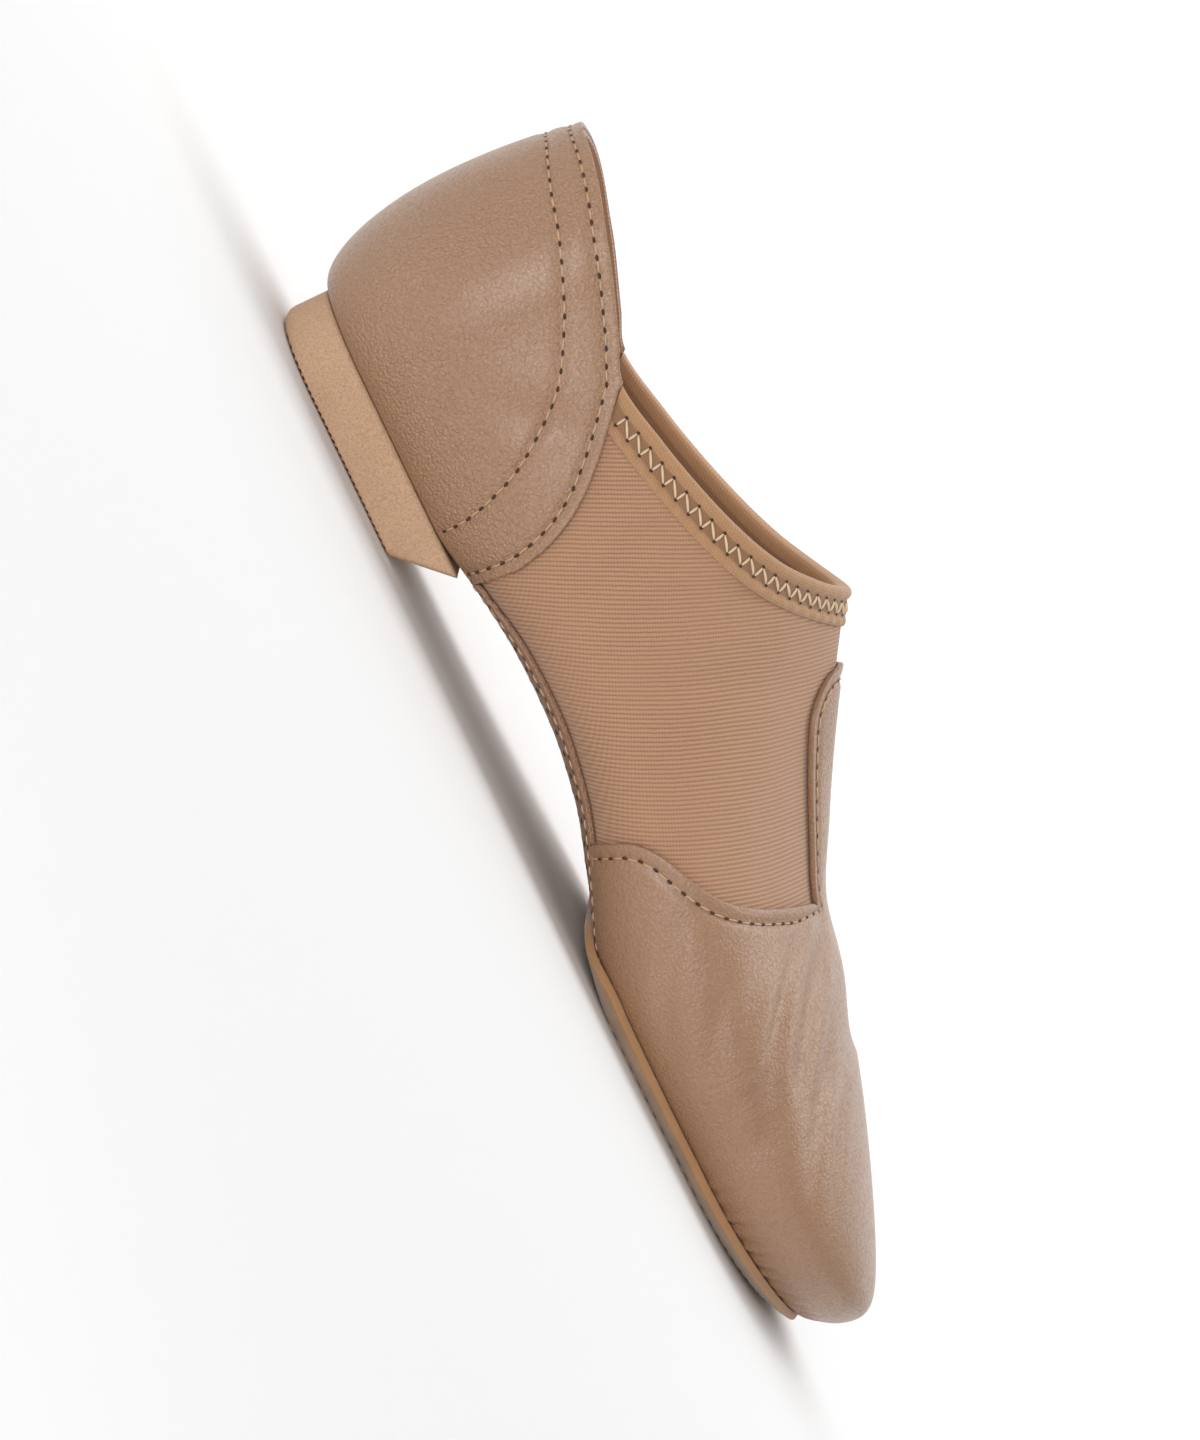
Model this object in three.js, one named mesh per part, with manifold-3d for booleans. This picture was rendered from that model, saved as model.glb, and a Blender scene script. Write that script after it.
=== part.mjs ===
// A slip-on jazz shoe with a split sole, for the right foot, empty and standing unbent on its sole.
// Millimetres, +Z up, +X to the toe, +Y to the inner side of the foot.
// Every soft piece is a layer of one last: a surface of vertical profiles set round the foot, from the
// middle of the underside, out over the widest line, and up to the ridge of the instep.

import * as THREE from 'three';
import { mergeVertices } from 'three/addons/utils/BufferGeometryUtils.js';
import Module from 'manifold-3d';

const wasm = await Module();
wasm.setup();

// Sizes of the last, over the leather
const shoeLength = 247;
const heelWidth = 61;
const ballWidth = 88;
const heelRadius = 30;
const toeRadius = 50;
const instepHeight = 78.5;
const archRise = 6;
const archTilt = 2.2;
const toeSwing = 7;
const heelRoundness = 2.2;
const toeRoundness = 2;

// Materials and the clearance between neighbouring pieces
const leather = 1.2;
const knit = 1.5;
const insoleThickness = 2;
const bindingThickness = 1.1;
const gap = 0.3;

// Heel block and forefoot pad
const blockHeight = 10.5;
const blockLength = 60;
const blockSlant = 10;
const blockCorner = 3;
const blockChamfer = 0.8;
const padThickness = 1.8;
const padLength = 95;
const padCorner = 16;

// Collar, binding and the tab of the vamp
const backHeight = 69.5;
const collarDip = 56.5;
const bindingWidth = 7.5;
const bindingRoll = 2.2;
const tabLength = 40;
const tabHalfWidth = 14;
const tabCorner = 8;
const seamAllowance = 4;

// Fineness of the mesh
const fanSteps = 7;
const sideSteps = 17;
const crownSteps = 8;
const sliver = 0.01;
const reach = 400;

// One row for each section of the last, from the centre of the heel to the centre of the toe.
// along: place, share of the shoe's length. heel and ball: shares of those widths that add up to the width.
// swing: shift of the middle to the inner side, and ridge: shift of the crest, shares of the ball width.
// crown and girth: heights of the crest and of the widest line, shares of the instep height.
// taper: how far the upper half draws in to the crest. flat: flat share of the underside.
// panel and pad: shares of the half width under the bottom panel and under the pad.
// seat and arch: shares of the heel seat's height over the ball, and of the arch's rise.
const sectionColumns = ['along', 'heel', 'ball', 'swing', 'ridge', 'crown', 'girth', 'taper', 'flat',
  'panel', 'pad', 'seat', 'arch'];
const sectionRows = [
  [0.121, 1.00, 0.000, 0.000, 0.000, 1.550, 0.460, 0.25, 0.68, 0.56, 0.86, 1.00, 0.00],
  [0.182, 0.85, 0.110, -0.006, 0.000, 1.550, 0.450, 0.25, 0.68, 0.56, 0.86, 1.00, 0.00],
  [0.243, 0.70, 0.220, -0.017, 0.000, 1.500, 0.435, 0.25, 0.66, 0.58, 0.86, 1.00, 0.00],
  [0.304, 0.55, 0.335, -0.028, 0.010, 1.400, 0.410, 0.28, 0.56, 0.68, 0.86, 1.00, 0.50],
  [0.364, 0.42, 0.450, -0.034, 0.030, 1.240, 0.395, 0.33, 0.48, 0.74, 0.86, 1.00, 0.90],
  [0.425, 0.30, 0.580, -0.028, 0.045, 1.045, 0.380, 0.40, 0.46, 0.76, 0.86, 0.95, 1.00],
  [0.486, 0.20, 0.700, -0.017, 0.050, 0.918, 0.355, 0.48, 0.50, 0.76, 0.86, 0.75, 0.95],
  [0.547, 0.10, 0.840, -0.006, 0.050, 0.800, 0.320, 0.50, 0.60, 0.76, 0.86, 0.40, 0.65],
  [0.607, 0.03, 0.945, 0.006, 0.050, 0.695, 0.270, 0.42, 0.70, 0.76, 0.87, 0.10, 0.15],
  [0.656, 0.00, 0.992, 0.010, 0.046, 0.620, 0.240, 0.32, 0.74, 0.76, 0.87, 0.00, 0.00],
  [0.729, 0.00, 1.000, 0.020, 0.040, 0.555, 0.222, 0.18, 0.74, 0.76, 0.87, 0.00, 0.00],
  [0.798, 0.00, 0.980, 0.034, 0.034, 0.492, 0.210, 0.06, 0.72, 0.74, 0.86, 0.00, 0.00],
];

// The same measures straight back from the centre of the heel, and straight forward from that of the toe.
// fall: slope of the crest beyond the centre.
const heelEnd = { girth: 0.54, taper: 0.25, flat: 0.63, panel: 0.54, pad: 0.86, fall: 0 };
const toeEnd = { girth: 0.20, taper: -0.35, flat: 0.58, panel: 0.66, pad: 0.86, fall: 0.29 };

// The collar seen from the side: place along the shoe, and shares of the rise from the dip to the back
// and from the dip to the instep.
const collarRows = [
  [-0.060, 1.00, 0.00],
  [0.020, 1.00, 0.00],
  [0.104, 0.64, 0.00],
  [0.169, 0.21, 0.00],
  [0.200, 0.00, 0.00],
  [0.260, 0.00, 0.12],
  [0.305, 0.00, 0.25],
  [0.349, 0.00, 0.41],
  [0.389, 0.00, 0.60],
  [0.417, 0.00, 0.79],
  [0.445, 0.00, 1.02],
  [0.480, 0.00, 1.34],
];

// Front edge of the counter from the collar down: place along the shoe, and share of the collar's dip.
const counterRows = [
  [0.160, 1.260],
  [0.200, 0.990],
  [0.226, 0.892],
  [0.246, 0.811],
  [0.268, 0.704],
  [0.281, 0.616],
  [0.292, 0.492],
  [0.297, 0.370],
  [0.297, 0.225],
  [0.293, 0.000],
];

// Rear edge of the vamp's wing from the bottom seam up to the throat: place along the shoe, and share of
// the crest's height there.
const wingRows = [
  [0.519, -0.100],
  [0.521, 0.160],
  [0.528, 0.290],
  [0.545, 0.375],
  [0.572, 0.455],
  [0.600, 0.555],
  [0.624, 0.690],
  [0.643, 0.830],
  [0.660, 0.950],
];
const tabFoot = 0.55;

const heelCentre = heelRadius;
const toeCentre = shoeLength - toeRadius;
const ballLevel = padThickness + gap;
const seatLevel = blockHeight + gap;
const linerDepth = leather + gap;
const insoleDepth = linerDepth + knit + gap;
const bindingDepth = linerDepth - gap - bindingThickness;
const throat = wingRows[wingRows.length - 1][0] * shoeLength;

// Smooth curve through rows of a table that never overshoots: cubic steps with harmonic slopes.
function smoothValue(places, values, place) {
  const last = places.length - 1;
  const clamped = Math.min(Math.max(place, places[0]), places[last]);
  let k = 0;
  while (k < last - 1 && clamped > places[k + 1]) k += 1;
  const rise = (i) => (values[i + 1] - values[i]) / (places[i + 1] - places[i]);
  const slope = (i) => {
    if (i === 0 || i === last) return 0;
    const before = rise(i - 1);
    const after = rise(i);
    return before * after > 0 ? (2 * before * after) / (before + after) : 0;
  };
  const step = places[k + 1] - places[k];
  const t = (clamped - places[k]) / step;
  const cubic = t * t * (3 - 2 * t);
  return values[k] + (values[k + 1] - values[k]) * cubic
    + step * t * (1 - t) * ((1 - t) * slope(k) - t * slope(k + 1));
}

function sectionValue(name, x) {
  const column = sectionColumns.indexOf(name);
  const first = sectionRows[0][0];
  const span = sectionRows[sectionRows.length - 1][0] - first;
  const share = first + (span * (x - heelCentre)) / (toeCentre - heelCentre);
  return smoothValue(sectionRows.map((row) => row[0]), sectionRows.map((row) => row[column]), share);
}

function halfWidth(x) {
  return (heelWidth * sectionValue('heel', x) + ballWidth * sectionValue('ball', x)) / 2;
}

function crestHeight(x) {
  return instepHeight * sectionValue('crown', x);
}

function crestMiddle(x) {
  return ballWidth * (sectionValue('swing', x) + sectionValue('ridge', x));
}

// Columns of the last: round the heel from the back, along the outer side, round the toe, and back along
// the inner side. turn is the direction in plan, 0 to the toe and pi to the back.
function profileColumns() {
  const outer = [];
  for (let i = 0; i < fanSteps; i += 1) {
    outer.push({ x: heelCentre, turn: Math.PI * (1 - i / (2 * fanSteps)) });
  }
  for (let i = 0; i <= sideSteps; i += 1) {
    outer.push({ x: heelCentre + ((toeCentre - heelCentre) * i) / sideSteps, turn: Math.PI / 2 });
  }
  for (let i = 1; i <= fanSteps; i += 1) {
    outer.push({ x: toeCentre, turn: (Math.PI / 2) * (1 - i / fanSteps) });
  }
  const inner = outer.slice(1, -1).reverse();
  return [...outer.map((c) => ({ ...c, side: -1 })), ...inner.map((c) => ({ ...c, side: 1 }))];
}

// All the measures of one profile, with those of the heel's or the toe's end mixed in as it turns.
function profileOf(column) {
  const { x, turn, side } = column;
  const forward = Math.cos(turn);
  const end = forward < 0 ? heelEnd : toeEnd;
  const endRadius = forward < 0 ? heelRadius : toeRadius;
  const roundness = forward < 0 ? heelRoundness : toeRoundness;
  const mix = forward * forward;
  const mixed = (name) => sectionValue(name, x) + (end[name] - sectionValue(name, x)) * mix;
  const across = Math.abs(Math.sin(turn)) / halfWidth(x);
  const ahead = Math.abs(forward) / endRadius;
  const radius = (across ** roundness + ahead ** roundness) ** (-1 / roundness);
  const arch = sectionValue('arch', x);
  return {
    x,
    side,
    forward,
    radius,
    endRadius,
    sideways: Math.abs(Math.sin(turn)),
    middle: ballWidth * sectionValue('swing', x),
    ridge: ballWidth * sectionValue('ridge', x),
    crown: crestHeight(x),
    fall: end.fall * Math.max(forward, 0),
    swing: forward > 0 ? toeSwing : 0,
    girth: instepHeight * mixed('girth'),
    taper: mixed('taper'),
    flat: mixed('flat') * radius,
    panel: mixed('panel') * radius,
    pad: mixed('pad') * radius,
    base: ballLevel + (seatLevel - ballLevel) * sectionValue('seat', x) + archRise * arch,
    tilt: archTilt * arch * side,
  };
}

// A point of a profile: out from its foot by the distance, at a height, with the shift of the crest.
function placeOn(profile, distance, height, climb) {
  const ahead = distance * profile.forward;
  const bend = profile.swing * (ahead / profile.endRadius) ** 2;
  return new THREE.Vector3(
    profile.x + ahead,
    profile.middle + profile.side * distance * profile.sideways + profile.ridge * climb + bend,
    height,
  );
}

// Lower half: flat underneath, then a quarter of an ellipse out to the widest line.
function lowerPoint(profile, distance) {
  const { radius, flat, girth } = profile;
  const base = profile.base + profile.tilt * Math.min(1, distance / flat);
  const share = Math.max(0, (distance - flat) / (radius - flat));
  const height = girth - (girth - base) * Math.sqrt(Math.max(0, 1 - share * share));
  return placeOn(profile, distance, height, 0);
}

// Upper half: a quarter of an ellipse from the widest line to the crest, drawn in by the taper.
function upperPoint(profile, angle) {
  const climb = Math.sin(angle);
  const distance = profile.radius * Math.cos(angle) * (1 - profile.taper * climb * climb);
  const crest = profile.crown - profile.fall * distance;
  return placeOn(profile, distance, profile.girth + (crest - profile.girth) * climb, climb * climb);
}

// Rows of the last that pieces start or end on, counted from the middle of the underside.
const rowOpening = 2;
const rowPanel = 3;
const rowUpper = 4;
const rowInsole = 5;
const rowPad = 6;
const wallShares = [0.95, 0.985, 1];
const rowGirth = rowPad + wallShares.length;
const rowCrest = rowGirth + crownSteps;

function profilePoints(profile) {
  const opening = profile.panel - seamAllowance;
  const insoleEdge = (profile.panel + profile.pad) / 2;
  const lower = [0, opening / 2, opening, profile.panel - gap, profile.panel + gap, insoleEdge,
    profile.pad, ...wallShares.map((share) => profile.radius * share)];
  const points = lower.map((distance) => lowerPoint(profile, distance));
  for (let i = 1; i <= crownSteps; i += 1) {
    points.push(upperPoint(profile, (Math.PI / 2) * (i / crownSteps)));
  }
  return points;
}

const columns = profileColumns();
const profiles = columns.map(profileOf);
const grid = profiles.map(profilePoints);

// Points that meet on the foot and crest lines are one vertex, so every layer of the last is closed there.
const vertexOf = new Map();
const vertices = [];
const vertexIndex = grid.map((line) => line.map((point) => {
  const key = [point.x, point.y, point.z].map((value) => value.toFixed(4)).join(' ');
  if (!vertexOf.has(key)) {
    vertexOf.set(key, vertices.length);
    vertices.push(point);
  }
  return vertexOf.get(key);
}));

// Triangles between two rows, facing out of the last. Triangles that closed to a line are dropped.
function rowTriangles(firstRow, lastRow) {
  const triangles = [];
  vertexIndex.forEach((line, k) => {
    const next = vertexIndex[(k + 1) % vertexIndex.length];
    for (let row = firstRow; row < lastRow; row += 1) {
      triangles.push([line[row], next[row], next[row + 1]], [line[row], next[row + 1], line[row + 1]]);
    }
  });
  return triangles.filter(([a, b, c]) => a !== b && b !== c && c !== a);
}

// Outward normal of every vertex of the last, weighted by the areas of its faces.
function vertexNormals() {
  const normals = vertices.map(() => new THREE.Vector3());
  rowTriangles(0, rowCrest).forEach((triangle) => {
    const [a, b, c] = triangle.map((index) => vertices[index]);
    const area = b.clone().sub(a).cross(c.clone().sub(a));
    triangle.forEach((index) => normals[index].add(area));
  });
  return normals.map((normal) => normal.normalize());
}

const normals = vertexNormals();

// A layer of the last between two rows and two depths under the leather's outer face, as a closed solid.
function layer(firstRow, lastRow, outerDepth, innerDepth) {
  const triangles = rowTriangles(firstRow, lastRow);
  const count = vertices.length;
  const faces = [...triangles, ...triangles.map(([a, b, c]) => [a + count, c + count, b + count])];
  const edges = new Set(triangles.flatMap(([a, b, c]) => [`${a} ${b}`, `${b} ${c}`, `${c} ${a}`]));
  edges.forEach((edge) => {
    const [a, b] = edge.split(' ').map(Number);
    if (!edges.has(`${b} ${a}`)) faces.push([b, a, a + count], [b, a + count, b + count]);
  });
  const used = [...new Set(faces.flat())].sort((a, b) => a - b);
  const renumbered = new Map(used.map((index, place) => [index, place]));
  const positions = used.flatMap((index) => {
    const depth = index < count ? outerDepth : innerDepth;
    return vertices[index % count].clone().addScaledVector(normals[index % count], -depth).toArray();
  });
  return new wasm.Manifold(new wasm.Mesh({
    numProp: 3,
    vertProperties: new Float32Array(positions),
    triVerts: new Uint32Array(faces.flat().map((index) => renumbered.get(index))),
  }));
}

function solidOf(geometry) {
  geometry.deleteAttribute('normal');
  geometry.deleteAttribute('uv');
  const merged = mergeVertices(geometry, 1e-5);
  return new wasm.Manifold(new wasm.Mesh({
    numProp: 3,
    vertProperties: new Float32Array(merged.attributes.position.array),
    triVerts: new Uint32Array(merged.index.array),
  }));
}

// A block right through the shoe from side to side, with an outline of [x, z] points.
function sideBlock(outline) {
  const shape = new THREE.Shape(outline.map(([x, z]) => new THREE.Vector2(x, z)));
  const geometry = new THREE.ExtrudeGeometry(shape, { depth: reach, bevelEnabled: false });
  geometry.rotateX(Math.PI / 2);
  geometry.translate(0, reach / 2, 0);
  return solidOf(geometry);
}

// An upright block with an outline of [x, y] points, between two heights.
function uprightBlock(outline, low, high) {
  const shape = new THREE.Shape(outline.map(([x, y]) => new THREE.Vector2(x, y)));
  const geometry = new THREE.ExtrudeGeometry(shape, { depth: high - low, bevelEnabled: false });
  geometry.translate(0, 0, low);
  return solidOf(geometry);
}

function smoothLine(points, steps) {
  const curve = new THREE.CatmullRomCurve3(points.map(([x, z]) => new THREE.Vector3(x, 0, z)), false,
    'centripetal');
  return curve.getPoints(steps).map((point) => [point.x, point.z]);
}

// The line moved sideways, to the right of its own direction.
function movedLine(line, distance) {
  return line.map(([x, z], i) => {
    const [x0, z0] = line[Math.max(i - 1, 0)];
    const [x1, z1] = line[Math.min(i + 1, line.length - 1)];
    const length = Math.hypot(x1 - x0, z1 - z0);
    return [x + ((z1 - z0) / length) * distance, z - ((x1 - x0) / length) * distance];
  });
}

const collarLine = smoothLine(collarRows.map(([along, back, front]) => [
  along * shoeLength,
  collarDip + back * (backHeight - collarDip) + front * (instepHeight - collarDip),
]), 44);

// Everything above the collar when it is lowered by a distance.
function aboveCollar(lowered) {
  const line = movedLine(collarLine, lowered);
  return sideBlock([...line, [line[line.length - 1][0], reach], [line[0][0], reach]]);
}

// Everything behind the counter's front edge when that edge is moved forward by a distance.
function behindCounter(clearance) {
  const edge = smoothLine(counterRows.map(([along, up]) => [along * shoeLength, up * collarDip]), 30);
  const moved = movedLine(edge, -clearance);
  return sideBlock([[-reach, moved[0][1]], [-reach, -gap], ...moved.reverse()]);
}

// Everything in front of the wing's rear edge, with all that lies in front of the throat.
function aheadOfWing() {
  const edge = smoothLine(wingRows.map(([along, up]) => [along * shoeLength, up * crestHeight(along * shoeLength)]),
    30);
  return sideBlock([...edge, [throat, reach], [reach, reach], [reach, -reach], [edge[0][0], -reach]]);
}

// Half width of a strip whose end has round corners, at a distance from that end.
function roundedHalf(half, corner, distance) {
  const inside = Math.max(0, corner - distance);
  return half - corner + Math.sqrt(Math.max(0, corner * corner - inside * inside));
}

function stripOutline(start, stop, steps, edgeAt) {
  const outer = [];
  const inner = [];
  for (let i = 0; i <= steps; i += 1) {
    const share = i / steps;
    const x = start + (stop - start) * share * share;
    const [middle, half] = edgeAt(x);
    outer.push([x, middle - half]);
    inner.push([x, middle + half]);
  }
  return [...outer, ...inner.reverse()];
}

// The tab of the vamp, seen from above, along the crest of the instep.
function tabBlock() {
  const start = throat - tabLength;
  const outline = stripOutline(start, throat + tabCorner, 16,
    (x) => [crestMiddle(x), roundedHalf(tabHalfWidth, tabCorner, x - start)]);
  return uprightBlock(outline, tabFoot * crestHeight(throat), reach);
}

function padBlock() {
  const start = toeCentre + toeRadius * toeEnd.pad - padLength;
  const outline = stripOutline(start, shoeLength + toeRadius, 32, (x) => [
    ballWidth * sectionValue('swing', x),
    roundedHalf(halfWidth(x) * sectionValue('pad', x) + ballLevel, padCorner, x - start),
  ]);
  return uprightBlock(outline, -reach, reach);
}

function makeUpper() {
  const shell = layer(rowOpening, rowCrest, linerDepth, linerDepth + knit);
  const rollSlot = aboveCollar(bindingRoll + gap).subtract(behindCounter(0));
  return shell.subtract(aboveCollar(0)).subtract(rollSlot);
}

function makeCounter() {
  return layer(rowUpper, rowCrest, 0, leather).intersect(behindCounter(0)).subtract(aboveCollar(0));
}

function makeVamp() {
  return layer(rowUpper, rowCrest, 0, leather).intersect(aheadOfWing().add(tabBlock()));
}

// Elastic folded over the edge of the collar: an outer leaf, a roll over the edge and an inner leaf.
function makeBinding() {
  const innerDepth = linerDepth + knit + gap;
  const outerLeaf = layer(rowGirth, rowCrest, bindingDepth, bindingDepth + bindingThickness);
  const innerLeaf = layer(rowGirth, rowCrest, innerDepth, innerDepth + bindingThickness);
  const roll = layer(rowGirth, rowCrest, bindingDepth, innerDepth + bindingThickness);
  const band = aboveCollar(bindingWidth).subtract(aboveCollar(0)).subtract(behindCounter(gap));
  const edge = aboveCollar(bindingRoll).subtract(aboveCollar(0)).subtract(behindCounter(gap));
  return outerLeaf.add(innerLeaf).intersect(band).add(roll.intersect(edge));
}

function makeBottomPanel() {
  return layer(0, rowPanel, 0, leather);
}

function makeInsole() {
  return layer(0, rowInsole, insoleDepth, insoleDepth + insoleThickness);
}

function makePad() {
  return layer(0, rowPad, -gap - padThickness, -gap).intersect(padBlock());
}

// The block has the outline of the heel's flat underside, a round lower back corner and a slanted breast.
function makeHeelBlock() {
  const back = heelCentre - heelRadius * heelEnd.flat;
  const front = back + blockLength;
  const half = (x) => halfWidth(x) * sectionValue('flat', heelCentre);
  const fan = profiles.filter((profile) => profile.forward < -1e-6);
  const seat = fan.map((profile) => {
    const point = placeOn(profile, profile.flat, 0, 0);
    return [point.x, point.y];
  });
  const outer = seat.filter(([, y]) => y <= 1e-6);
  const inner = seat.filter(([, y]) => y > 1e-6);
  const sides = [0, 1 / 3, 2 / 3, 1].map((share) => heelCentre + (front - heelCentre) * share);
  const outline = [
    ...outer,
    ...sides.map((x) => [x, ballWidth * sectionValue('swing', x) - half(x)]),
    ...[...sides].reverse().map((x) => [x, ballWidth * sectionValue('swing', x) + half(x)]),
    ...inner,
  ];
  const corner = [0, 1, 2, 3, 4].map((i) => {
    const angle = (Math.PI / 8) * i;
    return [back + blockCorner * (1 - Math.sin(angle)), blockCorner * (1 - Math.cos(angle))];
  });
  const side = [...corner.reverse(), [front - blockSlant - blockChamfer, 0],
    [front - blockSlant, blockChamfer], [front, blockHeight], [back, blockHeight]];
  return uprightBlock(outline, 0, blockHeight).intersect(sideBlock(side));
}

function meshOf(name, solid, color, roughness) {
  const mesh = solid.simplify(sliver).getMesh();
  const geometry = new THREE.BufferGeometry();
  geometry.setAttribute('position', new THREE.BufferAttribute(mesh.vertProperties, 3));
  geometry.setIndex(new THREE.BufferAttribute(mesh.triVerts, 1));
  geometry.computeVertexNormals();
  const material = new THREE.MeshStandardMaterial({ color, roughness, metalness: 0 });
  const made = new THREE.Mesh(geometry, material);
  made.name = name;
  return made;
}

const shoe = new THREE.Group();
shoe.add(
  meshOf('upper', makeUpper(), '#b28a6e', 0.85),
  meshOf('vamp', makeVamp(), '#a88468', 0.5),
  meshOf('heel_counter', makeCounter(), '#a88468', 0.5),
  meshOf('collar_binding', makeBinding(), '#be9873', 0.8),
  meshOf('bottom_panel', makeBottomPanel(), '#a88468', 0.6),
  meshOf('insole', makeInsole(), '#b99a7c', 0.8),
  meshOf('forefoot_pad', makePad(), '#a5825f', 0.95),
  meshOf('heel_block', makeHeelBlock(), '#cdac87', 0.9),
);

// The origin is on the floor, under the middle of the shoe.
const box = new THREE.Box3().setFromObject(shoe);
shoe.position.set(-(box.min.x + box.max.x) / 2, -(box.min.y + box.max.y) / 2, -box.min.z);

export default shoe;
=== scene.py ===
# %% [markdown]
# # A slip-on jazz shoe
# The frame is the imported model of the shoe: eight solids with their real sizes, standing on the floor. It
# is loaded first, and the heel block's box places the dressed shoe.

import bpy
import numpy as np
from mathutils import Matrix, Vector


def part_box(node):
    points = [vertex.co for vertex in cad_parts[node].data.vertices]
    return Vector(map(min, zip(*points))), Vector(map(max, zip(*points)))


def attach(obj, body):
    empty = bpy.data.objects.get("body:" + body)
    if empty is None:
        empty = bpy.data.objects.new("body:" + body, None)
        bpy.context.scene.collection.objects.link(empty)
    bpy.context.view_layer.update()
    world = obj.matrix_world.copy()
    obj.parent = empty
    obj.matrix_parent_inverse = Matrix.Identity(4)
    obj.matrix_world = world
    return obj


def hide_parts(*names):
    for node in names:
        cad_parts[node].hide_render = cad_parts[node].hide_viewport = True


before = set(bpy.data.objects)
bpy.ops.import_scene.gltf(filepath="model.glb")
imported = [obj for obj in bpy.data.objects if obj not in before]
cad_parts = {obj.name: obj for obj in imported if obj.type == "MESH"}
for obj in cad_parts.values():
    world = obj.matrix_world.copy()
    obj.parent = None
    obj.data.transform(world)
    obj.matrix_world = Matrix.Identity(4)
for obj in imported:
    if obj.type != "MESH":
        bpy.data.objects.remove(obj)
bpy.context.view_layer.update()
print("nodes", sorted(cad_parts))

# %% [markdown]
# ## The last
# A shoe is built round a last, a block with the shape of the foot. The real pieces are flat leather and
# knit pulled over it, so every piece here is a layer of one surface instead of a model of its own. The
# surface is a set of upright profiles: they fan round the heel, step along the foot and fan round the toe.
# The table gives each profile as shares of a few sizes, and smooth steps run between its rows. All lengths
# are millimetres until a mesh is made.

# %% Sizes of the last
MM = 0.001
SHOE_LENGTH = 247
HEEL_WIDTH = 61
BALL_WIDTH = 88
HEEL_RADIUS = 30
TOE_RADIUS = 50
INSTEP_HEIGHT = 78.5
ARCH_RISE = 6
ARCH_TILT = 2.2
TOE_SWING = 7
HEEL_ROUNDNESS = 2.2
TOE_ROUNDNESS = 2.0
LEATHER = 1.2
KNIT = 1.5
GAP = 0.3
BLOCK_HEIGHT = 10.5
PAD_THICKNESS = 1.8
SEAM_ALLOWANCE = 4
LINER_DEPTH = LEATHER + GAP
INSOLE_DEPTH = LINER_DEPTH + KNIT + GAP
BALL_LEVEL = PAD_THICKNESS + GAP
SEAT_LEVEL = BLOCK_HEIGHT + GAP
HEEL_CENTRE = HEEL_RADIUS
TOE_CENTRE = SHOE_LENGTH - TOE_RADIUS

SECTION_COLUMNS = ["along", "heel", "ball", "swing", "ridge", "crown", "girth", "taper", "flat",
                   "panel", "pad", "seat", "arch"]
SECTIONS = np.array([
    [0.121, 1.00, 0.000, 0.000, 0.000, 1.550, 0.460, 0.25, 0.68, 0.56, 0.86, 1.00, 0.00],
    [0.182, 0.85, 0.110, -0.006, 0.000, 1.550, 0.450, 0.25, 0.68, 0.56, 0.86, 1.00, 0.00],
    [0.243, 0.70, 0.220, -0.017, 0.000, 1.500, 0.435, 0.25, 0.66, 0.58, 0.86, 1.00, 0.00],
    [0.304, 0.55, 0.335, -0.028, 0.010, 1.400, 0.410, 0.28, 0.56, 0.68, 0.86, 1.00, 0.50],
    [0.364, 0.42, 0.450, -0.034, 0.030, 1.240, 0.395, 0.33, 0.48, 0.74, 0.86, 1.00, 0.90],
    [0.425, 0.30, 0.580, -0.028, 0.045, 1.045, 0.380, 0.40, 0.46, 0.76, 0.86, 0.95, 1.00],
    [0.486, 0.20, 0.700, -0.017, 0.050, 0.918, 0.355, 0.48, 0.50, 0.76, 0.86, 0.75, 0.95],
    [0.547, 0.10, 0.840, -0.006, 0.050, 0.800, 0.320, 0.50, 0.60, 0.76, 0.86, 0.40, 0.65],
    [0.607, 0.03, 0.945, 0.006, 0.050, 0.695, 0.270, 0.42, 0.70, 0.76, 0.87, 0.10, 0.15],
    [0.656, 0.00, 0.992, 0.010, 0.046, 0.620, 0.240, 0.32, 0.74, 0.76, 0.87, 0.00, 0.00],
    [0.729, 0.00, 1.000, 0.020, 0.040, 0.555, 0.222, 0.18, 0.74, 0.76, 0.87, 0.00, 0.00],
    [0.798, 0.00, 0.980, 0.034, 0.034, 0.492, 0.210, 0.06, 0.72, 0.74, 0.86, 0.00, 0.00],
])
HEEL_END = {"girth": 0.54, "taper": 0.25, "flat": 0.63, "panel": 0.54, "pad": 0.86, "fall": 0.0}
TOE_END = {"girth": 0.20, "taper": -0.35, "flat": 0.58, "panel": 0.66, "pad": 0.86, "fall": 0.29}


def smooth_value(places, values, place):
    """Cubic steps through the rows, whose slopes are harmonic means of the steps beside them."""
    rises = np.diff(values) / np.diff(places)
    before, after = rises[:-1], rises[1:]
    total = np.where(before * after > 0, before + after, 1.0)
    inner = np.where(before * after > 0, 2 * before * after / total, 0.0)
    slopes = np.concatenate([[0.0], inner, [0.0]])
    clamped = np.clip(place, places[0], places[-1])
    k = np.clip(np.searchsorted(places, clamped) - 1, 0, len(places) - 2)
    step = places[k + 1] - places[k]
    t = (clamped - places[k]) / step
    rise = (values[k + 1] - values[k]) * t * t * (3 - 2 * t)
    return values[k] + rise + step * t * (1 - t) * ((1 - t) * slopes[k] - t * slopes[k + 1])


def section(name, x):
    """A column of the section table at a place along the shoe."""
    places = SECTIONS[:, 0]
    share = places[0] + (places[-1] - places[0]) * (x - HEEL_CENTRE) / (TOE_CENTRE - HEEL_CENTRE)
    return smooth_value(places, SECTIONS[:, SECTION_COLUMNS.index(name)], share)


def half_width(x):
    """Half the widest width at a place: its shares of the widths of heel and ball."""
    return (HEEL_WIDTH * section("heel", x) + BALL_WIDTH * section("ball", x)) / 2


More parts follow.
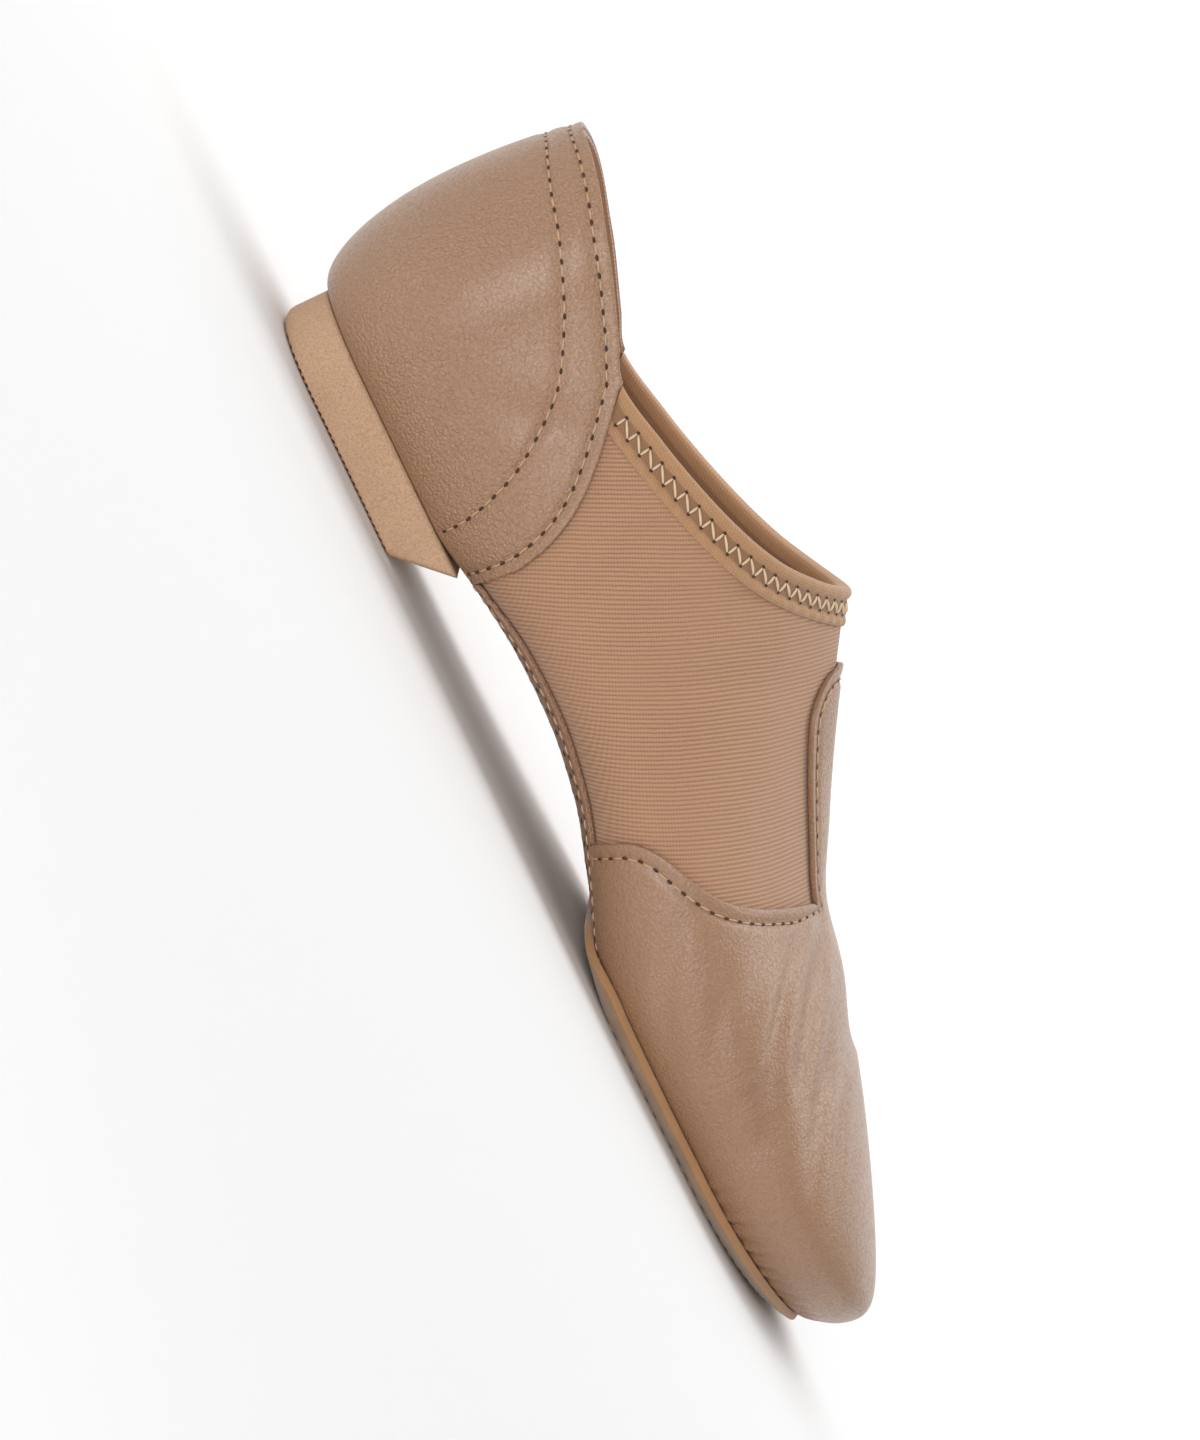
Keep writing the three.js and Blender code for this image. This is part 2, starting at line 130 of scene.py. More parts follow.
def crest_height(x):
    """Height of the crest at a place: its share of the instep height."""
    return INSTEP_HEIGHT * section("crown", x)


def crest_middle(x):
    """How far the crest lies to the inner side at a place."""
    return BALL_WIDTH * (section("swing", x) + section("ridge", x))


print("ball", 2 * half_width(180.0), "crest at the throat", round(float(crest_height(163.0)), 1))

# %% [markdown]
# ## Walking on the surface
# Two numbers name a point of the last. `p` is a walk round the foot in millimetres, 0 at the back of the
# heel, minus along the outer side and plus along the inner side, up to the tip of the toe. `v` climbs a
# profile: 0 under the foot, 1 on the widest line, 2 on the crest. Everything is worked out on whole arrays
# at once.

# %% Points and normals of the last
HEEL_ARC = HEEL_RADIUS * np.pi / 2
MIDDLE_RUN = TOE_CENTRE - HEEL_CENTRE
TOE_ARC = TOE_RADIUS * np.pi / 2
HALF_ROUND = HEEL_ARC + MIDDLE_RUN + TOE_ARC


def walk_at(x):
    """The walk p, without its sign, at a place between the centres of heel and toe."""
    return HEEL_ARC + np.asarray(x, float) - HEEL_CENTRE


def profile(p):
    """Every measure of the profiles at p, with the end of heel or toe mixed in by the turn's squared sine."""
    walk = np.abs(np.asarray(p, float))
    x = HEEL_CENTRE + np.clip(walk - HEEL_ARC, 0, MIDDLE_RUN)
    heel_turn = np.pi / 2 * np.clip(1 - walk / HEEL_ARC, 0, 1)
    toe_turn = np.pi / 2 * np.clip((walk - HEEL_ARC - MIDDLE_RUN) / TOE_ARC, 0, 1)
    forward = np.sin(toe_turn) - np.sin(heel_turn)
    sideways = np.cos(heel_turn) * np.cos(toe_turn)
    at_heel = forward < 0
    end_radius = np.where(at_heel, HEEL_RADIUS, TOE_RADIUS)
    power = np.where(at_heel, HEEL_ROUNDNESS, TOE_ROUNDNESS)
    reach = (np.abs(sideways) / half_width(x)) ** power + (np.abs(forward) / end_radius) ** power
    radius = reach ** (-1 / power)

    def mixed(name):
        end = np.where(at_heel, HEEL_END[name], TOE_END[name])
        return section(name, x) + (end - section(name, x)) * forward ** 2

    arch = section("arch", x)
    side = np.where(np.asarray(p) < 0, -1.0, 1.0)
    return {
        "x": x, "side": side, "forward": forward, "sideways": sideways, "radius": radius,
        "end_radius": end_radius, "middle": BALL_WIDTH * section("swing", x),
        "ridge": BALL_WIDTH * section("ridge", x), "crown": crest_height(x),
        "fall": TOE_END["fall"] * np.maximum(forward, 0), "swing": np.where(forward > 0, TOE_SWING, 0),
        "girth": INSTEP_HEIGHT * mixed("girth"), "taper": mixed("taper"),
        "flat": mixed("flat") * radius, "panel": mixed("panel") * radius, "pad": mixed("pad") * radius,
        "base": BALL_LEVEL + (SEAT_LEVEL - BALL_LEVEL) * section("seat", x) + ARCH_RISE * arch,
        "tilt": ARCH_TILT * arch * side,
    }


def last_point(p, v):
    """Lower half: flat, then a quarter ellipse. Upper half: a quarter ellipse drawn in by the taper."""
    p, v = np.broadcast_arrays(np.asarray(p, float), np.asarray(v, float))
    m = profile(p)
    low = np.sin(np.pi / 2 * np.clip(v, 0, 1)) * m["radius"]
    base = m["base"] + m["tilt"] * np.minimum(1, low / m["flat"])
    share = np.clip((low - m["flat"]) / (m["radius"] - m["flat"]), 0, 1)
    low_height = m["girth"] - (m["girth"] - base) * np.sqrt(1 - share ** 2)
    angle = np.pi / 2 * np.clip(v - 1, 0, 1)
    climb = np.sin(angle)
    high = m["radius"] * np.cos(angle) * (1 - m["taper"] * climb ** 2)
    high_height = m["girth"] + (m["crown"] - m["fall"] * high - m["girth"]) * climb
    upper = v > 1
    distance = np.where(upper, high, low)
    ahead = distance * m["forward"]
    bend = m["swing"] * (ahead / m["end_radius"]) ** 2
    shift = np.where(upper, m["ridge"] * climb ** 2, 0)
    y = m["middle"] + m["side"] * distance * m["sideways"] + shift + bend
    return np.stack([m["x"] + ahead, y, np.where(upper, high_height, low_height)], axis=-1)


def unit(vectors):
    """Vectors over their lengths."""
    return vectors / (np.linalg.norm(vectors, axis=-1, keepdims=True) + 1e-12)


def last_normal(p, v):
    """The cross product of small steps up the profile and along the walk, which points out of the shoe."""
    step_p, step_v = 0.05, 0.002
    p, v = np.broadcast_arrays(np.asarray(p, float), np.asarray(v, float))
    inside_p = np.clip(p, step_p - HALF_ROUND, HALF_ROUND - step_p)
    inside_p = np.where(np.abs(inside_p) < 2 * step_p, np.where(p < 0, -2, 2) * step_p, inside_p)
    inside_v = np.clip(v, 2 * step_v, 2 - 2 * step_v)
    along = last_point(inside_p + step_p, inside_v) - last_point(inside_p - step_p, inside_v)
    up = last_point(inside_p, inside_v + step_v) - last_point(inside_p, inside_v - step_v)
    return unit(np.cross(up, along))


def climb_to_distance(p, distance):
    """The v of the lower half where the profile is a distance out from its foot."""
    return 2 / np.pi * np.arcsin(np.clip(distance / profile(p)["radius"], 0, 1))


def halved(shape, low, high, is_before):
    """The values where a test turns from true to false, found by halving their range forty times."""
    low, high = np.full(shape, low), np.full(shape, high)
    for _ in range(40):
        middle = (low + high) / 2
        before = is_before(middle)
        low, high = np.where(before, middle, low), np.where(before, high, middle)
    return (low + high) / 2


def climb_to_line(p, line):
    """The v where the profile meets a side line z(x)."""
    p = np.asarray(p, float)

    def is_below(v):
        point = last_point(p, v)
        return point[..., 2] < line(point[..., 0])

    return halved(p.shape, 0.3, 2.0, is_below)


tip = last_point(HALF_ROUND, 1.0)
print("tip of the toe", tip.round(1))

# %% [markdown]
# ## From the shoe's own places to the frame
# The last starts at the back of the heel, and the frame at the middle of the shoe's box. The heel block's
# box says how far apart the two are, so nothing has to be fitted by eye.

# %% Place in the frame
BLOCK_LENGTH = 60
BLOCK_BACK = HEEL_CENTRE - HEEL_RADIUS * HEEL_END["flat"]
BLOCK_FRONT = BLOCK_BACK + BLOCK_LENGTH
block_low, block_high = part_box("heel_block")
BLOCK_FLAT = float(section("flat", np.float64(HEEL_CENTRE)))
block_sides = HEEL_CENTRE + (BLOCK_FRONT - HEEL_CENTRE) * np.array([0, 1 / 3, 2 / 3, 1])
block_inner = BALL_WIDTH * section("swing", block_sides) + half_width(block_sides) * BLOCK_FLAT
SHIFT = np.array([
    block_low[0] / MM - BLOCK_BACK,
    block_high[1] / MM - block_inner.max(),
    0.0,
])
print("shift", SHIFT.round(2))

# %% [markdown]
# ## Plates
# A piece of leather or knit is a plate: an outer face, an inner face one thickness further in, and a rim
# that turns over the cut edge. Blender's Solidify and Bevel can do this, but they treat every edge alike.
# Here the open edges of the grid are found first, and a round rim is carried along them, so that the rim
# can also be coloured as a raw edge.

# %% Mesh helpers
def grid_faces(rows, columns):
    """Quads of a grid whose points are numbered row by row."""
    corner = (np.arange(rows - 1)[:, None] * columns + np.arange(columns - 1)).ravel()
    return np.stack([corner, corner + 1, corner + columns + 1, corner + columns], axis=1)


def weld(points, faces, extras):
    """Points at one place become one, and quads with a doubled corner repeat it at their end."""
    keys = np.round(points, 3)
    _, first, inverse = np.unique(keys, axis=0, return_index=True, return_inverse=True)
    faces = inverse.reshape(-1)[faces]
    same = faces == np.roll(faces, -1, axis=1)
    order = (np.arange(4) + same.argmax(axis=1)[:, None] + 2) % 4
    faces = np.where(same.any(axis=1)[:, None], np.take_along_axis(faces, order, axis=1), faces)
    whole = (faces[:, 0] != faces[:, 1]) & (faces[:, 1] != faces[:, 2]) & (faces[:, 0] != faces[:, 2])
    whole &= (faces[:, 1] != faces[:, 3]) & (faces[:, 3] != faces[:, 0])
    return points[first], faces[whole], [extra[first] for extra in extras]


def open_edges(faces):
    """Directed edges that no other face uses the other way round."""
    starts = faces.ravel()
    stops = np.roll(faces, -1, axis=1).ravel()
    real = starts != stops
    starts, stops = starts[real], stops[real]
    size = faces.max() + 1
    alone = ~np.isin(starts * size + stops, stops * size + starts)
    return starts[alone], stops[alone]


def make_object(name, points, faces, attributes=None):
    """A mesh object in the frame, in metres, from points in the shoe's own millimetres."""
    mesh = bpy.data.meshes.new(name)
    placed = (points + SHIFT) * MM
    lists = [list(dict.fromkeys(face)) for face in faces.tolist()]
    mesh.from_pydata(placed.tolist(), [], lists)
    for key, values in (attributes or {}).items():
        layer = mesh.attributes.new(key, "FLOAT", "POINT")
        layer.data.foreach_set("value", np.asarray(values, np.float32))
    mesh.polygons.foreach_set("use_smooth", np.ones(len(mesh.polygons), bool))
    mesh.update()
    print(name, "open edges", len(open_edges(faces)[0]), "broken faces", mesh.validate(),
          "box", (points.max(axis=0) - points.min(axis=0)).round(1))
    made = bpy.data.objects.new(name, mesh)
    bpy.context.scene.collection.objects.link(made)
    return made


def dress(piece, finish, slot, *nodes):
    """Give a piece its finish and its body, and let it stand for the nodes. Its slot is not used."""
    piece.data.materials.append(finish)
    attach(piece, "root")
    if nodes:
        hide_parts(*nodes)
    triangles = sum(len(face.vertices) - 2 for face in piece.data.polygons)
    print(piece.name, "triangles", triangles)
    return piece


def plate(points, normals, faces, thickness, round_by, extras):
    """Outer face, a rim of two quarter circles round every open edge, and the inner face turned over."""
    starts, stops = open_edges(faces)
    outward = unit(np.cross(points[stops] - points[starts], normals[starts]))
    tangent = np.zeros_like(points)
    np.add.at(tangent, starts, outward)
    np.add.at(tangent, stops, outward)
    edge = np.unique(np.concatenate([starts, stops]))
    tangent = unit(tangent[edge])
    place = np.full(len(points), -1)
    place[edge] = np.arange(len(edge))
    angles = np.radians([30, 60, 90])
    rows = [(np.sin(a) * round_by, (1 - np.cos(a)) * round_by) for a in angles]
    rows += [(out, thickness - down) for out, down in reversed(rows)]
    rim = [points[edge] + tangent * out - normals[edge] * down for out, down in rows]
    count, ring = len(points), len(edge)
    inner_start = count + ring * len(rows)
    everything = np.concatenate([points, *rim, points - normals * thickness])
    belts = []
    a, b = place[starts], place[stops]
    ids_a = [starts] + [count + ring * k + a for k in range(len(rows))] + [inner_start + starts]
    ids_b = [stops] + [count + ring * k + b for k in range(len(rows))] + [inner_start + stops]
    for k in range(len(rows) + 1):
        belts.append(np.stack([ids_b[k], ids_a[k], ids_a[k + 1], ids_b[k + 1]], axis=1))
    turned = faces[:, ::-1] + inner_start
    all_faces = np.concatenate([faces, *belts, turned])
    is_rim = np.concatenate([np.zeros(count), np.ones(ring * len(rows)), np.zeros(count)])
    is_inner = np.concatenate([np.zeros(count + ring * len(rows)), np.ones(count)])
    attributes = {"rim": is_rim, "inner": is_inner}
    for key, values in extras.items():
        attributes[key] = np.concatenate([values] + [values[edge]] * len(rows) + [values])
    return everything, all_faces, attributes


def blanket(blocks, depth, thickness, round_by=0.35, relief=None, extras=None):
    """A plate over blocks of the last, each a pair of p and v grids, lifted by a relief in millimetres."""
    parts, faces, count = [], [], 0
    for p, v in blocks:
        p, v = np.broadcast_arrays(p, v)
        places = [last_point(p, v).reshape(-1, 3), last_normal(p, v).reshape(-1, 3)]
        parts.append([*places, p.ravel(), v.ravel()])
        faces.append(grid_faces(*p.shape) + count)
        count += p.size
    points, *others = (np.concatenate(part) for part in zip(*parts))
    points, faces, (normals, walks, climbs) = weld(points, np.concatenate(faces), others)
    lift = relief(points, walks, climbs)[:, None] if relief else 0.0
    outer = points - normals * (depth - lift)
    named = {key: rule(points, walks, climbs) for key, rule in (extras or {}).items()}
    return plate(outer, normals, faces, thickness, round_by, named)

# %% [markdown]
# ## Lines on the side of the shoe
# A pattern cutter draws the collar, the front of the counter and the back of the wing on the side of the
# last. They are kept as short tables in shares of the shoe's sizes, the same as in the solid model.

# %% Side lines
BACK_HEIGHT = 69.5
COLLAR_DIP = 56.5
COLLAR = np.array([
    [-0.060, 1.00, 0.00], [0.020, 1.00, 0.00], [0.104, 0.64, 0.00], [0.169, 0.21, 0.00], [0.200, 0.00, 0.00],
    [0.260, 0.00, 0.12], [0.305, 0.00, 0.25], [0.349, 0.00, 0.41], [0.389, 0.00, 0.60], [0.417, 0.00, 0.79],
    [0.445, 0.00, 1.02], [0.480, 0.00, 1.34],
])
COUNTER = np.array([
    [0.200, 0.990], [0.226, 0.892], [0.246, 0.811], [0.268, 0.704], [0.281, 0.616], [0.292, 0.492],
    [0.297, 0.370], [0.297, 0.000],
])
WING = np.array([
    [0.519, -0.100], [0.521, 0.160], [0.528, 0.290], [0.545, 0.375], [0.572, 0.455], [0.600, 0.555],
    [0.624, 0.690], [0.643, 0.830], [0.660, 0.950],
])
THROAT = WING[-1, 0] * SHOE_LENGTH


def run_length(points):
    """How far along a path each of its points lies."""
    return np.concatenate([[0], np.cumsum(np.linalg.norm(np.diff(points, axis=0), axis=1))])


def smooth_path(points, count):
    """A finely stepped path through a few points, spaced by the chords between them."""
    chords = run_length(points)
    steps = np.linspace(0, chords[-1], count)
    return np.stack([smooth_value(chords, points[:, k], steps) for k in range(points.shape[1])], axis=1)


def moved(path, distance):
    """A side path moved to the right of its own direction."""
    step = unit(np.gradient(path, axis=0))
    return path + distance * np.stack([step[:, 1], -step[:, 0]], axis=1)


rise_behind = COLLAR[:, 1] * (BACK_HEIGHT - COLLAR_DIP)
rise_ahead = COLLAR[:, 2] * (INSTEP_HEIGHT - COLLAR_DIP)
collar_z = COLLAR_DIP + rise_behind + rise_ahead
collar_path = smooth_path(np.stack([COLLAR[:, 0] * SHOE_LENGTH, collar_z], axis=1), 400)
counter_path = smooth_path(np.stack([COUNTER[:, 0] * SHOE_LENGTH, COUNTER[:, 1] * COLLAR_DIP], axis=1), 300)
wing_x = WING[:, 0] * SHOE_LENGTH
wing_path = smooth_path(np.stack([wing_x, WING[:, 1] * crest_height(wing_x)], axis=1), 300)
COUNTER_TOP = counter_path[0]
COUNTER_FRONT = counter_path[:, 0].max()


def collar_line(lowered):
    """The collar as a height at each place, lowered square to itself."""
    path = moved(collar_path, lowered)
    return lambda x: np.interp(x, path[:, 0], path[:, 1])


def collar_front(lowered):
    """The place where the lowered collar meets the crest."""
    x = np.linspace(90, 140, 2001)
    return x[np.argmax(collar_line(lowered)(x) > crest_height(x))]


def counter_line(x):
    """Height of the counter's front edge at a place ahead of its top corner."""
    rising = counter_path[np.argsort(counter_path[:, 0], kind="stable")]
    top = np.maximum.accumulate(rising[:, 0])
    return np.interp(x, top, rising[:, 1])


def wing_line(x):
    """Height of the wing's back edge at a place."""
    return np.interp(x, wing_path[:, 0], wing_path[:, 1])


print("collar meets the crest at", round(float(collar_front(0)), 1))

# %% [markdown]
# ## Seams and creases
# A seam pulls the leather down along its thread, and a foot leaves soft folds where it bends. Both are kept
# as paths on the last. A path sinks the points near it by a bell-shaped share of its depth, so a fold fades
# out on both sides, and a fold also lifts the hide a little beside it. The paths were placed from the photo.

# %% Paths on the last
STITCH_PITCH = 3.5
INNER_SEAM = np.array([
    [2.3, 62.4], [10.9, 59.7], [18.3, 57.9], [24.9, 55.6], [33.1, 52.2], [40.2, 48.3], [45.5, 44.7],
    [49.2, 40.7], [52.2, 36.8], [56.2, 30.7], [59.1, 23.6], [61.1, 15.6], [61.3, 12.4],
])


def climb_at_height(walk, z):
    """The v where a profile between the two centres reaches a height, from its two quarter ellipses."""
    m = profile(walk)
    rise = np.clip((z - m["girth"]) / (m["crown"] - m["girth"]), 0, 1)
    drop = np.clip((m["girth"] - z) / (m["girth"] - m["base"] - m["tilt"]), 0, 1)
    distance = m["flat"] + (m["radius"] - m["flat"]) * np.sqrt(1 - drop ** 2)
    low = 2 / np.pi * np.arcsin(np.clip(distance / m["radius"], 0, 1))
    return np.where(z > m["girth"], 1 + 2 / np.pi * np.arcsin(rise), low)


def side_row(path, side):
    """A path of places and heights, laid on one side of the last as walks and climbs."""
    walk = side * walk_at(path[:, 0])
    return np.stack([walk, climb_at_height(walk, path[:, 1])], axis=1)


def round_heel(front_path, reach, line):
    """One row from the front of the outer side, round the back, to the front of the inner side."""
    walk = np.linspace(-walk_at(reach), walk_at(reach), 200)
    back = np.stack([walk, climb_to_line(walk, line)], axis=1)
    front = front_path[front_path[:, 0] > reach + 0.5]
    return np.concatenate([side_row(front, -1)[::-1], back, side_row(front, 1)])


def tab_climb(walk, half):
    """The v of the upper half where the surface is a distance to the side of the crest, seen from above."""
    def is_wide(v):
        point = last_point(walk, v)
        return np.abs(point[..., 1] - crest_middle(point[..., 0])) > half

    return halved(walk.shape, 1.0, 2.0, is_wide)


def even_marks(row, pitch):
    """Points and normals at an even pitch along a row of walks and climbs."""
    points = last_point(row[:, 0], row[:, 1])
    length = run_length(points)
    marks = np.linspace(0, length[-1], max(2, int(round(length[-1] / pitch)) + 1))
    walk, climb = np.interp(marks, length, row[:, 0]), np.interp(marks, length, row[:, 1])
    return last_point(walk, climb), last_normal(walk, climb)


TAB_LENGTH = 40
TAB_HALF = 14
TAB_CORNER = 8
WING_SEAM = 2.5
TAB_SEAM = 2.2


def wing_and_tab_row(side):
    """The vamp's seam: up the wing, round the throat, along the tab and to the middle of its end."""
    wing = moved(wing_path, WING_SEAM)
    wing = wing[(wing[:, 1] > 9) & (wing[:, 0] < THROAT - 1)]
    start, half, corner = THROAT - TAB_LENGTH + TAB_SEAM, TAB_HALF - TAB_SEAM, TAB_CORNER - TAB_SEAM
    turn = np.radians(np.linspace(0, 90, 14))
    straight = np.linspace(THROAT + 1.5, start + corner, 40)
    x = np.concatenate([straight, start + corner * (1 - np.sin(turn)), np.full(8, start)])
    out = np.concatenate([np.full(40, half), half - corner * (1 - np.cos(turn)),
                          np.linspace(half - corner, 0, 9)[1:]])
    walk = side * walk_at(x)
    return np.concatenate([side_row(wing, side), np.stack([walk, tab_climb(walk, out)], axis=1)])


COUNTER_SEAM = 2.2
edge_seam = moved(counter_path, COUNTER_SEAM)
edge_seam = edge_seam[edge_seam[:, 1] > 12]
counter_rows = [
    round_heel(edge_seam, COUNTER_TOP[0] - 2.5, collar_line(COUNTER_SEAM)),
    round_heel(smooth_path(INNER_SEAM, 200), 40.0, lambda x: np.interp(x, *INNER_SEAM.T)),
]
vamp_rows = [wing_and_tab_row(-1), wing_and_tab_row(1)]
for row in counter_rows + vamp_rows:
    print("row", len(even_marks(row, STITCH_PITCH)[0]), "stitches")

# %% [markdown]
# A trough or a fold is worked out from the distance between a point of the hide and a path. Sculpting with
# a brush would also do, but it can't be repeated. The tables hold the folds that the photo shows over the
# ball, on the knit and low on the counter. The inner side has fewer of them, and none is deeper there.

# %% Troughs and folds
def nearest(points, path):
    """Distance from each point to the nearest point of a path, and which one that is."""
    squared = (points ** 2).sum(axis=1)[:, None] + (path ** 2).sum(axis=1) - 2 * points @ path.T
    index = squared.argmin(axis=1)
    return np.sqrt(np.maximum(squared[np.arange(len(points)), index], 0)), index


def seam_relief(points, rows, depth=0.42, width=1.0):
    """Leather sinks along a seam as a bell, and deeper at each needle hole."""
    lift = np.zeros(len(points))
    for row in rows:
        dense, _ = even_marks(row, 0.6)
        holes, _ = even_marks(row, STITCH_PITCH)
        lift -= depth * np.exp(-(nearest(points, dense)[0] / width) ** 2)
        lift -= 0.35 * depth * np.exp(-(nearest(points, holes)[0] / 0.8) ** 2)
    return lift


def fold_relief(points, folds):
    """Soft folds: a bell-shaped trough with a lower swelling beside it, faded towards both ends."""
    lift = np.zeros(len(points))
    for side, places, width, depth in folds:
        table = np.array(places, float)
        path = smooth_path(table, 80)
        dense = last_point(side * walk_at(path[:, 0]), path[:, 1])
        distance, index = nearest(points, dense)
        fade = np.sin(np.pi * np.clip((index + 1) / 81, 0, 1)) ** 1.1
        trough = np.exp(-(distance / width) ** 2)
        swelling = np.exp(-((distance - 2.1 * width) / width) ** 2)
        lift += depth * fade * (0.45 * swelling - trough)
    return lift


OUTER, INNER = -1, 1
VAMP_FOLDS = [
    (OUTER, [[165, 1.80], [171, 1.64], [180, 1.46], [190, 1.30]], 2.8, 1.05),
    (OUTER, [[172, 1.40], [182, 1.26], [192, 1.12], [197, 1.02]], 2.1, 0.70),
    (OUTER, [[166, 1.50], [174, 1.33], [182, 1.16], [188, 1.04]], 1.8, 0.55),
    (OUTER, [[182, 1.66], [193, 1.46], [204, 1.27], [211, 1.14]], 2.3, 0.62),
    (OUTER, [[158, 1.18], [166, 1.08], [175, 0.97], [182, 0.90]], 1.9, 0.52),
    (OUTER, [[196, 1.70], [206, 1.52], [216, 1.36], [221, 1.24]], 2.1, 0.46),
    (OUTER, [[146, 1.02], [155, 0.93], [164, 0.85], [172, 0.80]], 1.8, 0.42),
    (OUTER, [[202, 1.42], [209, 1.27], [214, 1.14], [217, 1.05]], 1.7, 0.36),
    (INNER, [[165, 1.82], [171, 1.66], [178, 1.50], [186, 1.36]], 2.8, 0.95),
    (INNER, [[170, 1.42], [179, 1.27], [189, 1.13], [195, 1.02]], 2.1, 0.62),
    (INNER, [[182, 1.66], [191, 1.48], [201, 1.30], [208, 1.14]], 2.2, 0.56),
    (INNER, [[156, 1.14], [165, 1.04], [174, 0.94], [181, 0.88]], 1.8, 0.46),
]
KNIT_FOLDS = [
    (OUTER, [[107, 1.72], [100, 1.45], [94, 1.20], [90, 1.02]], 3.2, 0.45),
    (OUTER, [[122, 1.62], [114, 1.36], [107, 1.14], [102, 0.98]], 3.0, 0.35),
    (OUTER, [[74, 1.30], [80, 1.12], [86, 0.98], [92, 0.90]], 2.8, 0.45),
    (INNER, [[107, 1.70], [101, 1.44], [95, 1.22], [90, 1.04]], 3.2, 0.45),
    (INNER, [[74, 1.28], [80, 1.12], [87, 0.97], [93, 0.90]], 2.8, 0.45),
]
COUNTER_FOLDS = [
    (OUTER, [[40, 0.92], [48, 1.02], [54, 1.06], [60, 1.03]], 3.6, 0.30),
    (INNER, [[40, 0.92], [48, 1.02], [54, 1.06], [60, 1.03]], 3.6, 0.30),
]


def throat_dimple(points):
    """The vamp dips in a wide bell across the crest, just ahead of the tab's foot."""
    across = (points[:, 1] - crest_middle(points[:, 0])) / 12
    ahead = (points[:, 0] - THROAT - 3) / 8
    return -0.8 * np.exp(-across ** 2 - ahead ** 2) * (points[:, 2] > 25)


def lasting_pleats(walks, climbs):
    """Under the toe the hide is drawn in: small waves along the walk, in a bell just above the sole."""
    round_toe = np.clip((np.abs(walks) - walk_at(188)) / 22, 0, 1)
    band = np.exp(-((climbs - 0.70) / 0.09) ** 2)
    waves = np.cos(2 * np.pi * walks / 5.3) + 0.5 * np.cos(2 * np.pi * walks / 3.4 + 1)
    return 0.30 * round_toe * band * waves


def heel_gather(points):
    """The panel is gathered just ahead of the heel: small pleats that fade within about ten millimetres."""
    near = np.exp(-((points[:, 0] - 78) / 6) ** 2)
    return 0.35 * near * np.cos(2 * np.pi * points[:, 0] / 3.1)


print("folds", len(VAMP_FOLDS), len(KNIT_FOLDS), len(COUNTER_FOLDS))

# %% [markdown]
# ## Finishes
# Every finish is worked out from the place of a point in the shoe, in millimetres, so a grain cell or a rib
# has its real size and no picture is needed. Image textures would be quicker to make, but they show their
# edges and stretch over a last. A small class lets the shader maths read like plain sums.

# %% Shader helpers
class Wire:
    """A shader socket that can be added, multiplied and so on. Each sum is one node of the same tree."""

    def __init__(self, tree, socket):
        self.tree, self.socket = tree, socket

    def math(self, operation, *terms):
        node = self.tree.nodes.new("ShaderNodeMath")
        node.operation = operation
        for slot, term in zip(node.inputs, terms):
            plug(self.tree, slot, term)
        return Wire(self.tree, node.outputs[0])

    def __add__(self, other):
        return self.math("ADD", self, other)

    def __radd__(self, other):
        return self.math("ADD", other, self)

    def __sub__(self, other):
        return self.math("SUBTRACT", self, other)

    def __rsub__(self, other):
        return self.math("SUBTRACT", other, self)

    def __mul__(self, other):
        return self.math("MULTIPLY", self, other)

    def __truediv__(self, other):
        return self.math("DIVIDE", self, other)

    def __pow__(self, other):
        return self.math("POWER", self, other)

    def sine(self):
        return self.math("SINE", self)

    def between(self, low, high):
        """0 at the low value, 1 at the high one and held there."""
        share = (self - low) / (high - low)
        return self.math("MINIMUM", self.math("MAXIMUM", share, 0.0), 1.0)


def plug(tree, slot, value):
    """Link a wire to a socket, or set the socket's own value."""
    if isinstance(value, Wire):
        tree.links.new(value.socket, slot)
    elif isinstance(value, tuple) and len(value) == 3 and slot.type == "RGBA":
        slot.default_value = (*value, 1.0)
    else:
        slot.default_value = value


class Finish:
    """One material: its shader, the place of a point in millimetres, and ways to add nodes."""

    def __init__(self, name, roughness, **fixed):
        self.material = bpy.data.materials.new(name)
        self.material.use_nodes = True
        self.tree = self.material.node_tree
        self.shader = self.tree.nodes["Principled BSDF"]
        self.set("Roughness", roughness)
        for key, value in fixed.items():
            self.set(key.replace("_", " "), value)
        metres = self.node("TexCoord", {}, "Object")
        self.place = self.node("VectorMath", {"operation": "SCALE"}, "Vector", {0: metres, "Scale": 1000.0})
        apart = self.node("SeparateXYZ", {}, "X", {"Vector": self.place}).socket.node
        self.x, self.y, self.z = (Wire(self.tree, apart.outputs[axis]) for axis in "XYZ")

    def node(self, kind, settings, output, values=None):
        """One node: its settings first, then its values and links, then the socket asked for."""
        made = self.tree.nodes.new("ShaderNode" + kind)
        for key, value in settings.items():
            setattr(made, key, value)
        for key, value in (values or {}).items():
            plug(self.tree, made.inputs[key], value)
        return Wire(self.tree, made.outputs[output])

    def set(self, socket, value):
        plug(self.tree, self.shader.inputs[socket], value)

    def noise(self, scale, detail=2.0, place=None, rough=0.5):
        values = {"Vector": place or self.place, "Scale": scale, "Detail": detail, "Roughness": rough}
        return self.node("TexNoise", {}, 0, values)

    def cells(self, scale, place=None):
        return self.node("TexVoronoi", {}, "Distance", {"Vector": place or self.place, "Scale": scale})

    def mix(self, share, first, second):
        """A colour between two others."""
        return self.node("Mix", {"data_type": "RGBA"}, 2, {0: share, 6: first, 7: second})

    def attribute(self, name):
        return self.node("Attribute", {"attribute_name": name}, "Fac")

    def bump(self, height):
        """Heights in millimetres become a bumped normal."""
        values = {"Height": height, "Distance": 0.001, "Strength": 1.0}
        self.set("Normal", self.node("Bump", {}, "Normal", values))


